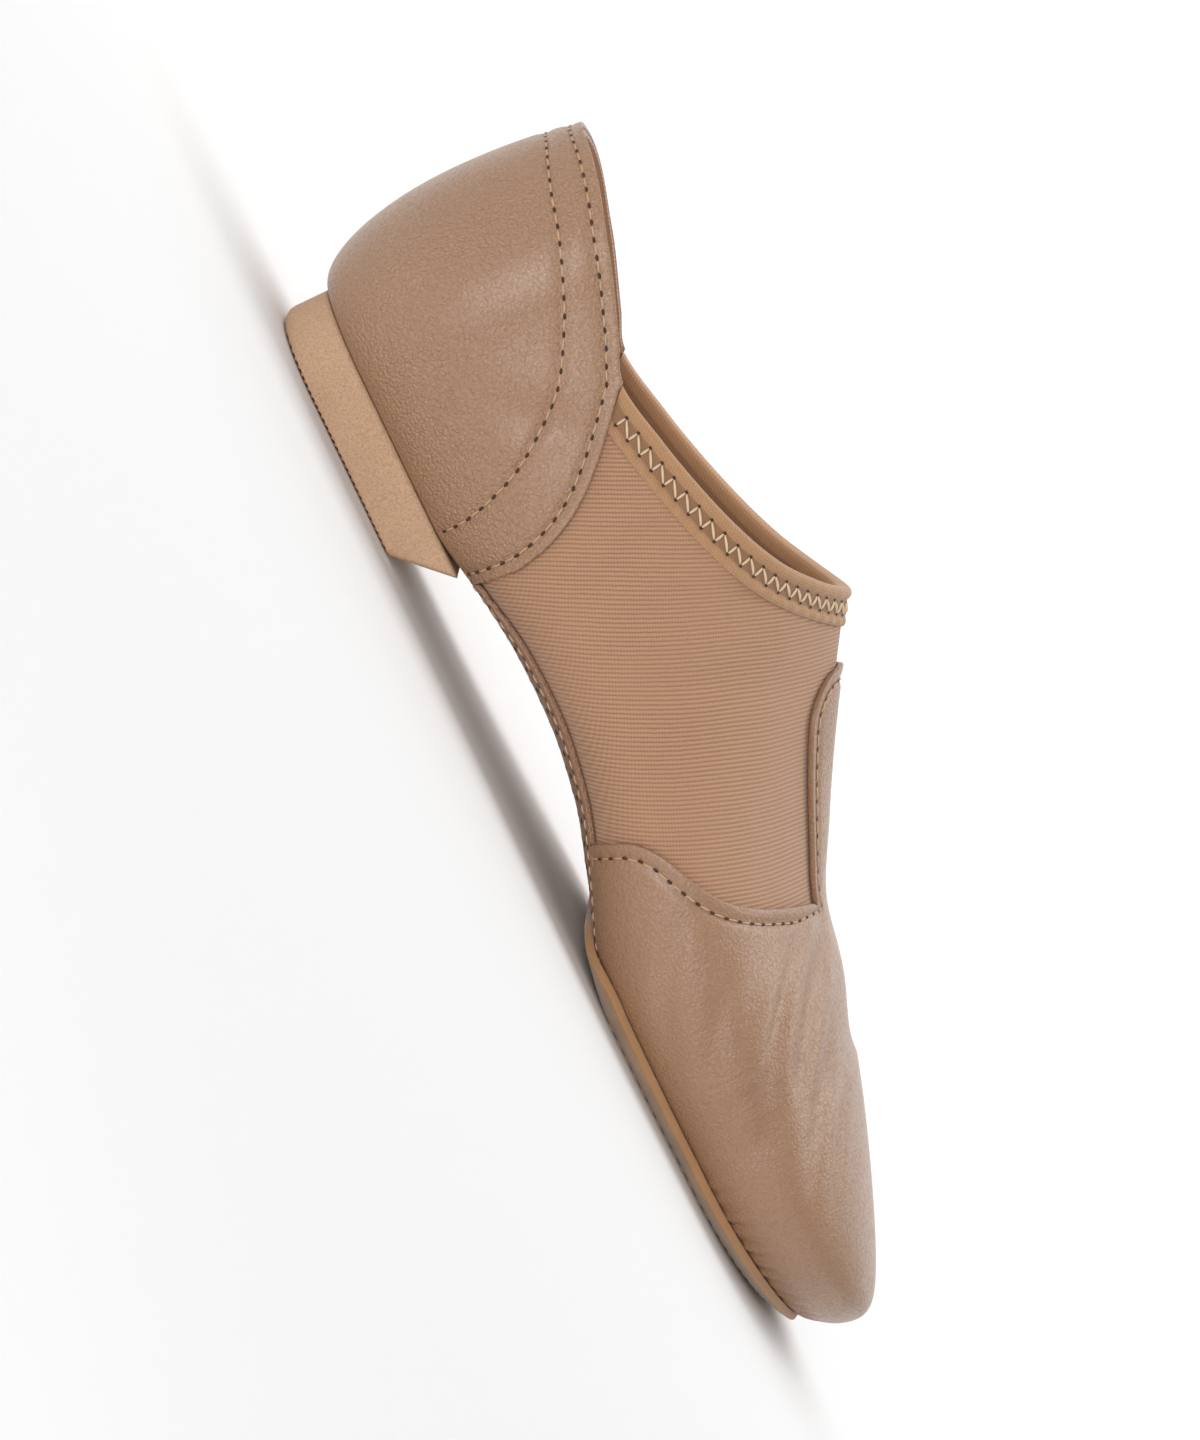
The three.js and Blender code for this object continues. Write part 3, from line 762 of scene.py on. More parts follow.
def srgb(red, green, blue):
    """A colour as picked from the photo, turned to linear light."""
    share = np.array([red, green, blue]) / 255
    linear = np.where(share <= 0.04045, share / 12.92, ((share + 0.055) / 1.055) ** 2.4)
    return tuple(float(v) for v in linear)

# %% [markdown]
# The leather is a soft calf of one even colour. Its grain is a net of short, bent cells well under a
# millimetre wide, which hardly shows where the light is dull and sparkles inside a highlight, so it is
# nearly all relief. The finish is satin: a soft base under a thin clear coat. Fine creases run where a map
# says the hide is worked.

# %% Leather
def leather_finish(name, deep, plain, pale, grain=1.0, relief=0.22):
    """A bent net of cells for the grain, with finer pores, and stretched noise for the worked creases."""
    f = Finish(name, 0.4, Coat_Roughness=0.32, Specular_IOR_Level=0.65)
    drift = f.node("TexNoise", {}, "Color", {"Vector": f.place, "Scale": 1.1, "Detail": 2.0})
    sway = {0: drift, 1: (0.9,) * 3, 2: f.place}
    bent = f.node("VectorMath", {"operation": "MULTIPLY_ADD"}, "Vector", sway)
    net = f.cells(1.5 / grain, place=bent)
    pores = f.noise(4.2, 2.0, rough=0.6)
    clouds = f.noise(0.035, 2.0).between(0.3, 0.7)
    top = 1.0 - net.between(0.15, 0.85)
    stretched = f.node("Mapping", {}, "Vector", {
        "Vector": bent, "Rotation": (0.0, 0.75, 0.0), "Scale": (1.0, 0.5, 0.09)})
    wrinkle = f.noise(0.55, 2.0, place=stretched).between(0.3, 0.7)
    worked = f.attribute("worked")
    colour = f.mix(clouds * 0.6, plain, pale)
    # Painted shade: the grain's valleys and the worked creases are mixed towards the deep colour.
    colour = f.mix((1.0 - top) * 0.12 + (1.0 - wrinkle) * worked * 0.06, colour, deep)
    colour = f.mix(f.attribute("rim") * 0.5, colour, srgb(132, 96, 70))
    colour = f.mix(f.attribute("inner") * 0.9, colour, srgb(186, 154, 122))
    f.set("Base Color", colour)
    f.set("Roughness", 0.3 + (1.0 - top) * 0.16 + pores * 0.06)
    f.set("Coat Weight", 0.16 + top * 0.45)
    f.bump(top * relief * grain + pores * 0.06 + wrinkle * worked * 0.15)
    return f.material


# The first colour of each leather is the painted shade of its grain valleys and creases.
leather = leather_finish("leather", srgb(92, 62, 42), srgb(165, 125, 94), srgb(171, 131, 99), relief=0.28)
# The vamp is the counter's hide with flatter grain, and its colours are set a little darker: painted shade.
stretched_shaded_leather = leather_finish("stretched_shaded_leather", srgb(92, 62, 42), srgb(157, 118, 88),
                                   srgb(163, 124, 93), relief=0.12)
sole_leather = leather_finish("sole_leather", srgb(92, 64, 44), srgb(160, 120, 90), srgb(166, 126, 95), 0.8)

# %% [markdown]
# The sock is a fine-ribbed stretch knit. The ribs run up from the sole and lean forward, 0.88 mm apart, and
# the loops of each rib show as a finer wave along it. Thin lines of shade lie between the ribs.

# %% Knit and lining
def knit_finish(name, deep, plain, pitch, lean, depth):
    """Ribs are a sine across a leaning direction that noise sways, and loops a finer sine along it."""
    f = Finish(name, 0.82)
    f.set("Sheen Weight", 0.25)
    f.set("Sheen Roughness", 0.5)
    tilt = np.radians(lean)
    sway = (f.noise(0.035, 1.0) - 0.5) * 1.4 + (f.noise(0.6, 1.0) - 0.5) * 0.16
    across = f.x * float(np.sin(tilt)) - f.z * float(np.cos(tilt)) + sway
    along = f.x * float(np.cos(tilt)) + f.z * float(np.sin(tilt)) + f.y * 0.6
    rib = (across * (2 * np.pi / pitch)).sine() * 0.5 + 0.5
    loop = (along * (2 * np.pi / 0.62)).sine() * 0.5 + 0.5
    fuzz = f.noise(4.5, 3.0)
    clouds = f.noise(0.06, 2.0)
    outside = 1.0 - f.attribute("inner") * 0.85
    shade = ((1.0 - rib) ** 1.6) * outside
    colour = f.mix(shade * 0.52 + (1.0 - loop) * 0.14 + (fuzz - 0.5) * 0.55, plain, deep)
    colour = f.mix(clouds.between(0.3, 0.75) * 0.22, colour, srgb(184, 141, 110))
    f.set("Base Color", colour)
    f.bump(rib * outside * depth + loop * rib * outside * 0.04 + fuzz * 0.05)
    return f.material


knit = knit_finish("knit", srgb(108, 74, 52), srgb(192, 147, 114), 0.88, 64, 0.11)
lining = knit_finish("lining", srgb(150, 116, 90), srgb(190, 158, 128), 0.6, 20, 0.06)

# %% [markdown]
# The binding is a soft elastic, a little yellower than the knit. Its threads run along it, and short ribs
# cross it. The place along and across it is stored on its points, because it curves.

# %% Binding, suede, heel and thread
def binding_finish_of(name):
    """Short ribs across the collar times threads along it, and painted shade in the channel between its two
    rolls.
    """
    f = Finish(name, 0.85)
    f.set("Sheen Weight", 0.3)
    along, across = f.attribute("along"), f.attribute("across")
    cross = (along * (2 * np.pi / 0.75)).sine() * 0.5 + 0.5
    length = (across * (2 * np.pi / 0.55)).sine() * 0.5 + 0.5
    fuzz = f.noise(4.0, 3.0)
    channel = across.between(2.3, 2.8) * (1.0 - across.between(5.2, 5.7))
    colour = f.mix((1.0 - cross * length) * 0.35 + (fuzz - 0.5) * 0.4, srgb(188, 144, 104), srgb(134, 96, 66))
    # Painted shade: the channel between the two rolls is mixed darker.
    colour = f.mix(channel * 0.7, colour, srgb(130, 94, 68))
    f.set("Base Color", colour)
    f.bump(cross * 0.05 + length * 0.04 + fuzz * 0.06)
    return f.material


def suede_finish(name):
    """Fine noise for the nap and coarse noise for where it was brushed, with a warmer raw edge."""
    f = Finish(name, 0.95)
    f.set("Sheen Weight", 0.4)
    nap = f.noise(2.2, 5.0, rough=0.65)
    brushed = f.noise(0.16, 3.0).between(0.35, 0.65)
    colour = f.mix(brushed * 0.5 + (nap - 0.5) * 0.7, srgb(176, 138, 102), srgb(128, 94, 66))
    colour = f.mix(f.attribute("rim") * 0.7, colour, srgb(184, 134, 86))
    f.set("Base Color", colour)
    f.bump(nap * 0.14)
    return f.material


def heel_rubber_finish(name):
    """Dark specks from noise, and pits where the cells have their middles."""
    f = Finish(name, 0.8)
    speck = f.noise(2.4, 4.0, rough=0.7)
    pits = f.cells(1.5)
    clouds = f.noise(0.10, 2.0)
    colour = f.mix(speck.between(0.42, 0.72) * 0.6, srgb(209, 172, 140), srgb(142, 106, 80))
    colour = f.mix((1.0 - pits.between(0.0, 0.3)) * 0.18 + clouds.between(0.4, 0.8) * 0.18, colour,
                   srgb(176, 138, 104))
    f.set("Base Color", colour)
    f.bump(speck * 0.10 + pits * 0.05)
    return f.material


def plain_finish(name, colour, roughness):
    """One colour with one roughness."""
    f = Finish(name, roughness)
    f.set("Base Color", colour)
    return f.material


binding_finish = binding_finish_of("binding")
suede = suede_finish("suede")
heel_finish = heel_rubber_finish("heel_rubber")
thread = plain_finish("thread", srgb(194, 160, 129), 0.5)
zigzag_thread = plain_finish("zigzag_thread", srgb(218, 192, 160), 0.6)
# One dark colour for all holes: painted shade in the openings left by needle and punch.
shade_in_holes = plain_finish("painted_hole_shade", srgb(78, 55, 40), 0.9)
print("finishes", [made.name for made in bpy.data.materials])

# %% [markdown]
# ## The pieces
# Each piece is one or more blocks of the walk and the climb. Where an edge runs steeply, the steps of the
# walk are squared, so that they crowd together there and the edge stays smooth.

# %% Ranges of the walk
def crowded(start, stop, count):
    """Places from start to stop that crowd together at stop: the rest of the way falls as a square."""
    t = np.linspace(1, 0, count)
    return stop - (stop - start) * t ** 2


def evenly(start, stop, step):
    """Places from start to stop, at most one step apart."""
    return np.linspace(start, stop, max(2, int(np.ceil(abs(stop - start) / step)) + 1))


def both_sides(walk):
    """The walk from the outer side, back round the heel, to the inner side."""
    return np.concatenate([-walk[::-1], walk[1:]]) if walk[0] == 0 else walk


def climb_rows(low, high, count):
    """Rows from a low to a high climb at every step of the walk."""
    t = np.linspace(0, 1, count)
    return low[:, None] + (high - low)[:, None] * t


STEP = 1.5
FINE = 0.8
print("steps of the walk", STEP, FINE)

# %% [markdown]
# The upper is the knit sock under everything. Cutting the pieces out of one mesh would leave them ragged,
# so each edge is a row of its own grid. The sock's collar runs along the counter's edge at the back, and
# under the binding further forward it stops short of the fold.

# %% Upper, counter, vamp and soles
UPPER_ROWS = 56
COUNTER_ROWS = 88
VAMP_ROWS = 46
TAB_ROWS = 20


def upper_blocks():
    """One grid from inside the panel's edge up to the collar, and ahead of the collar up to the crest."""
    lowered = collar_line(2.5)
    plain = collar_line(0)
    open_front = collar_front(2.5)
    walk = np.concatenate([
        evenly(0, walk_at(COUNTER_TOP[0] - 1), STEP),
        evenly(walk_at(COUNTER_TOP[0] + 1), walk_at(open_front - 20), STEP),
        crowded(walk_at(open_front - 20), walk_at(open_front), 16)[1:],
        evenly(walk_at(open_front), HALF_ROUND, STEP)[1:],
    ])
    walk = both_sides(walk)
    is_back = np.abs(walk) < walk_at(COUNTER_TOP[0])
    top = np.where(is_back, climb_to_line(walk, plain), climb_to_line(walk, lowered))
    top = np.where(np.abs(walk) >= walk_at(open_front) - 1e-6, 2.0, top)
    bottom = climb_to_distance(walk, profile(walk)["panel"] - SEAM_ALLOWANCE)
    return [(walk[:, None], climb_rows(bottom, top, UPPER_ROWS))]


def above_panel(walk):
    """The lower edge of the leather, one gap outside the panel's line under the foot."""
    return climb_to_distance(walk, profile(walk)["panel"] + GAP)


def counter_blocks():
    """One grid round the heel, from the panel's edge up to the collar and down its front edge."""
    walk = np.concatenate([
        evenly(0, walk_at(COUNTER_TOP[0]), FINE),
        crowded(walk_at(COUNTER_TOP[0]), walk_at(COUNTER_FRONT), 50)[1:],
    ])
    walk = both_sides(walk)
    is_back = np.abs(walk) <= walk_at(COUNTER_TOP[0])
    top = np.where(is_back, climb_to_line(walk, collar_line(0)), climb_to_line(walk, counter_line))
    return [(walk[:, None], climb_rows(above_panel(walk), top, COUNTER_ROWS))]


def vamp_blocks():
    """Four grids a side: the wing, the side over the toes, the top over the toes and half the tab."""
    wing_back = wing_path[:, 0].min()
    throat_climb = float(tab_climb(np.array([walk_at(THROAT)]), TAB_HALF)[0])
    blocks = []
    for side in (-1, 1):
        wing_walk = np.concatenate([
            crowded(walk_at(wing_back + 8), walk_at(wing_back), 20)[::-1],
            evenly(walk_at(wing_back + 8), walk_at(THROAT - 4), 1.0)[1:],
            crowded(walk_at(THROAT - 4), walk_at(THROAT), 10)[1:],
        ])
        top = climb_to_line(side * wing_walk, wing_line)
        closing = np.clip((wing_walk - walk_at(THROAT - 4)) / 4, 0, 1)
        top = top + (throat_climb - top) * (1 - np.sqrt(1 - closing ** 2))
        walk = side * wing_walk
        blocks.append((walk[:, None], climb_rows(above_panel(walk), top, VAMP_ROWS)))
        over = evenly(walk_at(THROAT), HALF_ROUND, 1.0)
        walk = side * over
        middle = np.full(walk.shape, throat_climb)
        blocks.append((walk[:, None], climb_rows(above_panel(walk), middle, VAMP_ROWS)))
        blocks.append((walk[:, None], climb_rows(middle, np.full(walk.shape, 2.0), TAB_ROWS)))
        start = THROAT - TAB_LENGTH
        bend = crowded(start + TAB_CORNER, start, 30)[::-1]
        tab_x = np.concatenate([bend, evenly(start + TAB_CORNER, THROAT, 1.0)[1:]])
        inside = np.clip(TAB_CORNER - (tab_x - start), 0, TAB_CORNER)
        half = TAB_HALF - TAB_CORNER + np.sqrt(TAB_CORNER ** 2 - inside ** 2)
        walk = side * walk_at(tab_x)
        blocks.append((walk[:, None], climb_rows(tab_climb(walk, half), np.full(walk.shape, 2.0), TAB_ROWS)))
    ordered = []
    for walk, climb in blocks:
        flip = walk[0, 0] > walk[-1, 0]
        ordered.append((walk[::-1], climb[::-1]) if flip else (walk, climb))
    return ordered


def under_blocks(edge_distance, start, step, rows):
    """A sole: from the middle of the underside out to an edge, on both sides, as one block for each side."""
    blocks = []
    walk = evenly(start, HALF_ROUND, step)
    for signed in (-walk[::-1], walk):
        edge = climb_to_distance(signed, edge_distance(signed))
        blocks.append((signed[:, None], climb_rows(np.zeros(signed.shape), edge, rows)))
    return blocks


PAD_LENGTH = 95
PAD_CORNER = 16
PAD_BACK = TOE_CENTRE + TOE_RADIUS * TOE_END["pad"] - PAD_LENGTH


def pad_blocks():
    """Half a pad on each side, from the middle out, whose rear corner is a quarter circle."""
    back, full = walk_at(PAD_BACK), walk_at(PAD_BACK + PAD_CORNER)
    walk = np.concatenate([crowded(full, back, 26)[::-1], evenly(full, HALF_ROUND, STEP)[1:]])
    inside = np.clip(PAD_CORNER - (walk - back), 0, PAD_CORNER)
    blocks = []
    for signed in (-walk, walk):
        order = np.argsort(signed)
        edge = profile(signed)["pad"] - PAD_CORNER + np.sqrt(PAD_CORNER ** 2 - inside ** 2)
        climb = climb_to_distance(signed, edge)
        blocks.append((signed[order][:, None], climb_rows(np.zeros(len(order)), climb[order], 24)))
    return blocks

# %% [markdown]
# Now the layers are made, each one its own depth below the face of the last: leather at the surface, the
# knit under it, the lining sole inside and the suede pad outside. The hide gets its seams, folds and pleats
# here.

# %% Make the leather, knit and sole pieces
def worked_hide(points, walks, climbs):
    """How much the hide is creased: most on the outer side of the ball, not at all low on the sides."""
    along = np.exp(-((points[:, 0] - 184) / 22) ** 2)
    return along * np.clip((climbs - 0.75) / 0.3, 0, 1) * (0.35 + 0.65 * (points[:, 1] < 0))


def vamp_relief(points, walks, climbs):
    """Seams, folds, the dimple and the pleats together, in millimetres."""
    lift = seam_relief(points, vamp_rows) + fold_relief(points, VAMP_FOLDS)
    return lift + throat_dimple(points) + lasting_pleats(walks, climbs)


def counter_relief(points, walks, climbs):
    """Both seams and the low fold."""
    return seam_relief(points, counter_rows) + fold_relief(points, COUNTER_FOLDS)


def knit_relief(points, walks, climbs):
    """The folds of the sock."""
    return fold_relief(points, KNIT_FOLDS)


upper_plate = blanket(upper_blocks(), LINER_DEPTH, KNIT, 0.3, knit_relief)
counter_plate = blanket(counter_blocks(), 0, LEATHER, relief=counter_relief)
vamp_plate = blanket(vamp_blocks(), 0, LEATHER, relief=vamp_relief, extras={"worked": worked_hide})
panel_plate = blanket(under_blocks(lambda p: profile(p)["panel"] - GAP, 0, 1.2, 28), 0, LEATHER,
                      relief=lambda points, walks, climbs: heel_gather(points) * climbs)
sock_plate = blanket(under_blocks(lambda p: (profile(p)["panel"] + profile(p)["pad"]) / 2, 0, 2.0, 16),
                     INSOLE_DEPTH, 2.0, 0.5)
pad_plate = blanket(pad_blocks(), -GAP - PAD_THICKNESS, PAD_THICKNESS, 0.3)
dress(make_object("knit_upper", *upper_plate), knit, "knit", "upper")
dress(make_object("counter_leather", *counter_plate), leather, "leather", "heel_counter")
dress(make_object("vamp_leather", *vamp_plate), stretched_shaded_leather, "leather", "vamp")
dress(make_object("bottom_leather", *panel_plate), sole_leather, "perforated_leather", "bottom_panel")
dress(make_object("sock_lining", *sock_plate), lining, "lining", "insole")
dress(make_object("suede_pad", *pad_plate), suede, "suede", "forefoot_pad")

# %% [markdown]
# ## The binding
# Elastic is folded over the edge of the knit and sewn down with a zigzag. Its section is carried along the
# collar: a fat roll over the edge, a flat channel for the zigzag, and a thin lip below it. The path is
# given by a number from -1 to 1 whose square is the way back from the front of the collar, so it turns
# smoothly over the crest.

# %% Binding
BINDING_OUTER = np.array([
    [0.10, -0.20], [0.05, 0.45], [0.30, 0.95], [0.85, 1.25], [1.50, 1.28], [2.00, 1.00], [2.35, 0.62],
    [2.80, 0.50], [4.00, 0.52], [5.20, 0.50], [5.60, 0.62], [5.95, 0.88], [6.60, 0.98], [7.20, 0.80],
    [7.50, 0.42], [7.45, 0.06],
])
BINDING_INNER = np.array([
    [0.10, -0.60], [0.05, -1.60], [0.30, -2.20], [0.85, -2.55], [1.50, -2.60], [2.00, -2.60], [2.35, -2.55],
    [2.80, -2.50], [4.00, -2.50], [5.20, -2.50], [5.60, -2.50], [5.95, -2.50], [6.60, -2.45], [7.10, -2.30],
    [7.40, -2.00], [7.45, -1.70],
])
BINDING_END = 0.6
END_SLANT = 0.86
ROLL_SINKS = 0.14
LIP_SINKS = 0.28
ZIGZAG_STEP = 1.85
ZIGZAG_TOP = 2.75
ZIGZAG_FOOT = 5.25
ZIGZAG_LIFT = 0.62


def collar_points(turns, lowered, height):
    """Points at a distance below the collar's edge and a height over the knit, for each turn from -1 to 1."""
    end = collar_front(lowered)
    start = COUNTER_TOP[0] + BINDING_END + END_SLANT * max(lowered, 0)
    x = end - (end - start) * turns ** 2
    walk = np.where(turns < 0, -1, 1) * walk_at(x)
    z = collar_line(lowered)(x)
    m = profile(walk)
    climb = np.clip((z - m["girth"]) / (m["crown"] - m["girth"]), -1, 1)
    v = 1 + 2 / np.pi * np.arcsin(climb)
    v = np.where(np.abs(turns) < 1e-9, 2.0, v)
    return last_point(walk, v) - last_normal(walk, v) * (LINER_DEPTH - np.asarray(height)[..., None])


def make_binding():
    """The section's loop at every turn, with capped ends. It sinks beside each corner of the zigzag."""
    turns = np.linspace(-1, 1, 481)
    loop = np.concatenate([BINDING_OUTER, BINDING_INNER[::-1]])
    length = run_length(collar_points(turns, 4.0, 0.5))
    pull = 0.5 + 0.5 * np.cos(2 * np.pi * length / (2 * ZIGZAG_STEP))
    rows = []
    for d, h in loop:
        outside = h > 0.2
        lip = LIP_SINKS * (1 - pull) if outside and d > 5.5 else 0.0
        roll = ROLL_SINKS * pull if outside and 1.0 < d < 2.6 else 0.0
        rows.append(collar_points(turns, d, h - lip - roll))
    rows = np.stack(rows)
    count, steps = len(loop), len(turns)
    closed = np.concatenate([rows, rows[:1]])
    faces = grid_faces(count + 1, steps) % (count * steps)
    faces = faces[:, ::-1]
    half = count // 2
    k = np.arange(half - 1)
    caps = []
    for column, order in ((0, -1), (steps - 1, 1)):
        cap = np.stack([k, k + 1, count - 2 - k, count - 1 - k], axis=1) * steps + column
        caps.append(cap[:, ::order])
    points = closed[:-1].reshape(-1, 3)
    places = {"along": np.tile(length, count), "across": np.repeat(loop[:, 0], steps)}
    return points, np.concatenate([faces, *caps]), places


binding = make_object("collar_fold", *make_binding())
dress(binding, binding_finish, "binding", "collar_binding")

# %% [markdown]
# ## The heel block
# The block is a stack of outlines. Each follows the flat underside of the heel, draws in a little where the
# lower edge is rounded, and stops at the slanted breast.

# %% Heel block
BLOCK_SLANT = 10
BLOCK_ROUND = 0.9
BACK_ROUND = 3.0
BREAST_CORNER = 1.5
TREAD_PITCH = 1.5
TREAD_DEPTH = 0.5


def block_outline(height):
    """Places, middles and half widths from the back of the block to the middle of its breast.

    The walk's steps start wide, as a power of 0.7, because the back is nearly flat.
    """
    low = np.clip(1 - height / BACK_ROUND, 0, 1)
    drawn = BLOCK_ROUND * (1 - np.sqrt(1 - np.clip(1 - height / BLOCK_ROUND, 0, 1) ** 2))
    back_drawn = BACK_ROUND * (1 - np.sqrt(1 - low ** 2))
    breast = BLOCK_FRONT - BLOCK_SLANT * (1 - height / BLOCK_HEIGHT)
    walk = HEEL_ARC * np.linspace(0, 1, 110) ** 0.7
    m = profile(walk)
    x = m["x"] + m["flat"] * m["forward"] + back_drawn * np.abs(m["forward"]) ** 2
    y = m["flat"] * m["sideways"] - drawn * m["sideways"]
    sides = np.linspace(HEEL_CENTRE, breast - BREAST_CORNER, 100)[1:]
    half = half_width(sides) * BLOCK_FLAT - drawn
    turn = np.radians(np.linspace(0, 90, 6))[1:]
    corner_x = breast - BREAST_CORNER + BREAST_CORNER * np.sin(turn)
    corner_half = half[-1] - BREAST_CORNER + BREAST_CORNER * np.cos(turn)
    across = corner_half[-1] * np.linspace(1, 0, 5)[1:]
    xs = np.concatenate([x, sides, corner_x, np.full(len(across), breast)])
    halves = np.concatenate([y, half, corner_half, across])
    middle = BALL_WIDTH * section("swing", np.clip(xs, HEEL_CENTRE, None))
    return xs, middle, halves


def make_block():
    """Rings up the block, and a ladder of rungs across the first and the last ring."""
    heights = np.concatenate([[0, 0.6, 0.75, 0.9, 1.5, 2.2, 3.0], np.linspace(4, BLOCK_HEIGHT, 8)])
    rings, ladders = [], []
    for level, height in enumerate(heights):
        xs, middle, halves = block_outline(height)
        tooth = TREAD_DEPTH * np.abs(np.sin(np.pi * xs / TREAD_PITCH)) if level == 0 else 0.0
        z = np.full(len(xs), height) + tooth
        inner = np.stack([xs, middle + halves, z], axis=1)
        outer = np.stack([xs, middle - halves, z], axis=1)
        rings.append(np.concatenate([inner, outer[-2::-1]]))
        if level in (0, len(heights) - 1):
            rungs = np.linspace(0, 1, 9)[None, :, None]
            rows = slice(0, len(xs) - 4)
            ladders.append(inner[rows, None] + (outer - inner)[rows, None] * rungs)
    body = np.array(rings)
    count = body.shape[1]
    faces = [grid_faces(len(heights), count)[:, ::-1]]
    points = [body.reshape(-1, 3)]
    start = body.shape[0] * count
    for ladder, turned in ((ladders[0], True), (ladders[1], False)):
        rung_faces = grid_faces(*ladder.shape[:2]) + start
        faces.append(rung_faces[:, ::-1] if turned else rung_faces)
        points.append(ladder.reshape(-1, 3))
        start += ladder.shape[0] * ladder.shape[1]
    points, all_faces, _ = weld(np.concatenate(points), np.concatenate(faces), [])
    return points, all_faces


block = make_object("block_under_heel", *make_block())
dress(block, heel_finish, "heel_rubber", "heel_block")

# %% [markdown]
# ## Stitches and holes
# Each stitch is a short thread that comes out of one needle hole, lies over the hide and goes down the next
# one. A dark lens of painted shade lies between two threads, where the hole is. The stitches of a piece are
# one mesh and their holes another, worked out together from their ends.

# %% Threads
THREAD_RINGS = 9
LENS_CORNERS = 16
THREAD_END = 0.12
HOLE_REACH = 0.17
HOLE_WIDTH = 0.31
HOLE_LIFT = 0.07


def threads(starts, stops, normals, radius):
    """Arches from hole to hole. Thickness and height follow the root of a sine, so both ends close."""
    t = np.linspace(0, 1, THREAD_RINGS)[None, :, None, None]
    turn = np.linspace(0, 2 * np.pi, THREAD_RINGS)[None, None, :, None]
    along = stops - starts
    across = unit(np.cross(along, normals))
    body = np.sqrt(np.maximum(np.sin(np.pi * t), 0))
    centre = starts[:, None, None] + along[:, None, None] * t
    centre = centre + normals[:, None, None] * radius * (1.5 * body - 0.9)
    around = across[:, None, None] * np.cos(turn) + normals[:, None, None] * np.sin(turn)
    points = (centre + around * radius * body).reshape(-1, 3)
    one = grid_faces(THREAD_RINGS, THREAD_RINGS)[:, ::-1]
    faces = (one[None] + THREAD_RINGS ** 2 * np.arange(len(starts))[:, None, None]).reshape(-1, 4)
    points, faces, _ = weld(points, faces, [])
    return points, faces


def lenses(middles, firsts, seconds, normals, lift):
    """Flat dark ovals of painted shade: a ring over two half axes, with one point just above it and one below
    it.
    """
    turn = np.linspace(0, 2 * np.pi, LENS_CORNERS + 1)[None, :-1, None]
    raised = middles + normals * lift
    ring = raised[:, None] + firsts[:, None] * np.cos(turn) + seconds[:, None] * np.sin(turn)
    tips = np.stack([raised + normals * 0.01, raised - normals * 0.15], axis=1)
    points = np.concatenate([ring, tips], axis=1).reshape(-1, 3)
    k = np.arange(LENS_CORNERS)
    after, above, below = np.roll(k, -1), np.full_like(k, LENS_CORNERS), np.full_like(k, LENS_CORNERS + 1)
    top = np.stack([k, after, above, above], axis=1)
    bottom = np.stack([after, k, below, below], axis=1)
    one = np.concatenate([top, bottom])
    faces = (one[None] + (LENS_CORNERS + 2) * np.arange(len(middles))[:, None, None]).reshape(-1, 4)
    return points, faces


def spots(centres, normals, radius, lift):
    """Round holes of painted shade: lenses whose two half axes lie square to each other and to the normal."""
    helper = np.where(np.abs(normals[:, :1]) < 0.8, [[1.0, 0, 0]], [[0, 0, 1.0]])
    first = radius * unit(np.cross(normals, helper))
    return lenses(centres, first, np.cross(normals, first), normals, lift)


def slits(starts, stops, normals, width, lift):
    """The shaded holes that threads pull open: lenses that are longer along the seam than across it."""
    along = (stops - starts) / 2
    across = width * unit(np.cross(along, normals))
    return lenses((starts + stops) / 2, across, along, normals, lift)


def sew(name, rows, slot, sunk=0.30, pitch=STITCH_PITCH, radius=0.20):
    """Threads for some rows of the last, with a hole of painted shade where each one starts."""
    starts, stops, normals = [], [], []
    for row in rows:
        marks, turned = even_marks(row, pitch)
        marks = marks - turned * sunk
        starts.append(marks[:-1])
        stops.append(marks[1:])
        normals.append(turned[:-1] + turned[1:])
    starts, stops, normals = np.concatenate(starts), np.concatenate(stops), np.concatenate(normals)
    normals = unit(normals)
    step = stops - starts
    end, reach = THREAD_END * step, HOLE_REACH * step
    made = make_object(name, *threads(starts + end, stops - end, normals, radius))
    dress(made, thread, slot)
    # The dark lens round each start is painted shade in the needle hole.
    holes = slits(starts - reach, starts + reach, normals, HOLE_WIDTH, HOLE_LIFT)
    dress(make_object(name + "_cuts", *holes), shade_in_holes, slot)


sew("counter_stitches", counter_rows, "leather")
sew("vamp_stitches", vamp_rows, "leather")

# %% [markdown]
# The zigzag that holds the binding down is a thicker, paler thread. Its corners step from one side of the
# channel to the other, so it can stretch with the elastic, and a dark spot of painted shade marks the needle
# hole under each corner.

# %% Zigzag on the binding
def zigzag():
    """Corners by turns at the foot and the top of the channel, an even step apart, and the normals there."""
    fine = np.linspace(-1, 1, 801)
    length = run_length(collar_points(fine, 4.0, 0.5))
    turns = np.interp(np.arange(ZIGZAG_STEP, length[-1] - 1.5, ZIGZAG_STEP), length, fine)
    is_upper = (np.arange(len(turns)) % 2 == 1)[:, None]

    def corners_at(height):
        top, foot = (collar_points(turns, below, height) for below in (ZIGZAG_TOP, ZIGZAG_FOOT))
        return np.where(is_upper, top, foot)

    corners = corners_at(ZIGZAG_LIFT)
    return corners, unit(corners_at(ZIGZAG_LIFT + 1) - corners)


corners, corner_normals = zigzag()
legs = threads(corners[:-1], corners[1:], corner_normals[:-1], 0.28)
dress(make_object("collar_zigzag", *legs), zigzag_thread, "binding")
# Each corner's needle hole is a dark spot: painted shade.
holes = spots(corners, corner_normals, 0.36, 0.03)
dress(make_object("collar_zigzag_holes", *holes), shade_in_holes, "binding")

# %% [markdown]
# The panel under the foot is sewn along its edge and punched with two staggered rows of small holes on each
# side of the arch, which let it breathe and bend. The pad is sewn 4.5 mm inside its raw edge, and has a row
# of larger holes on each side.

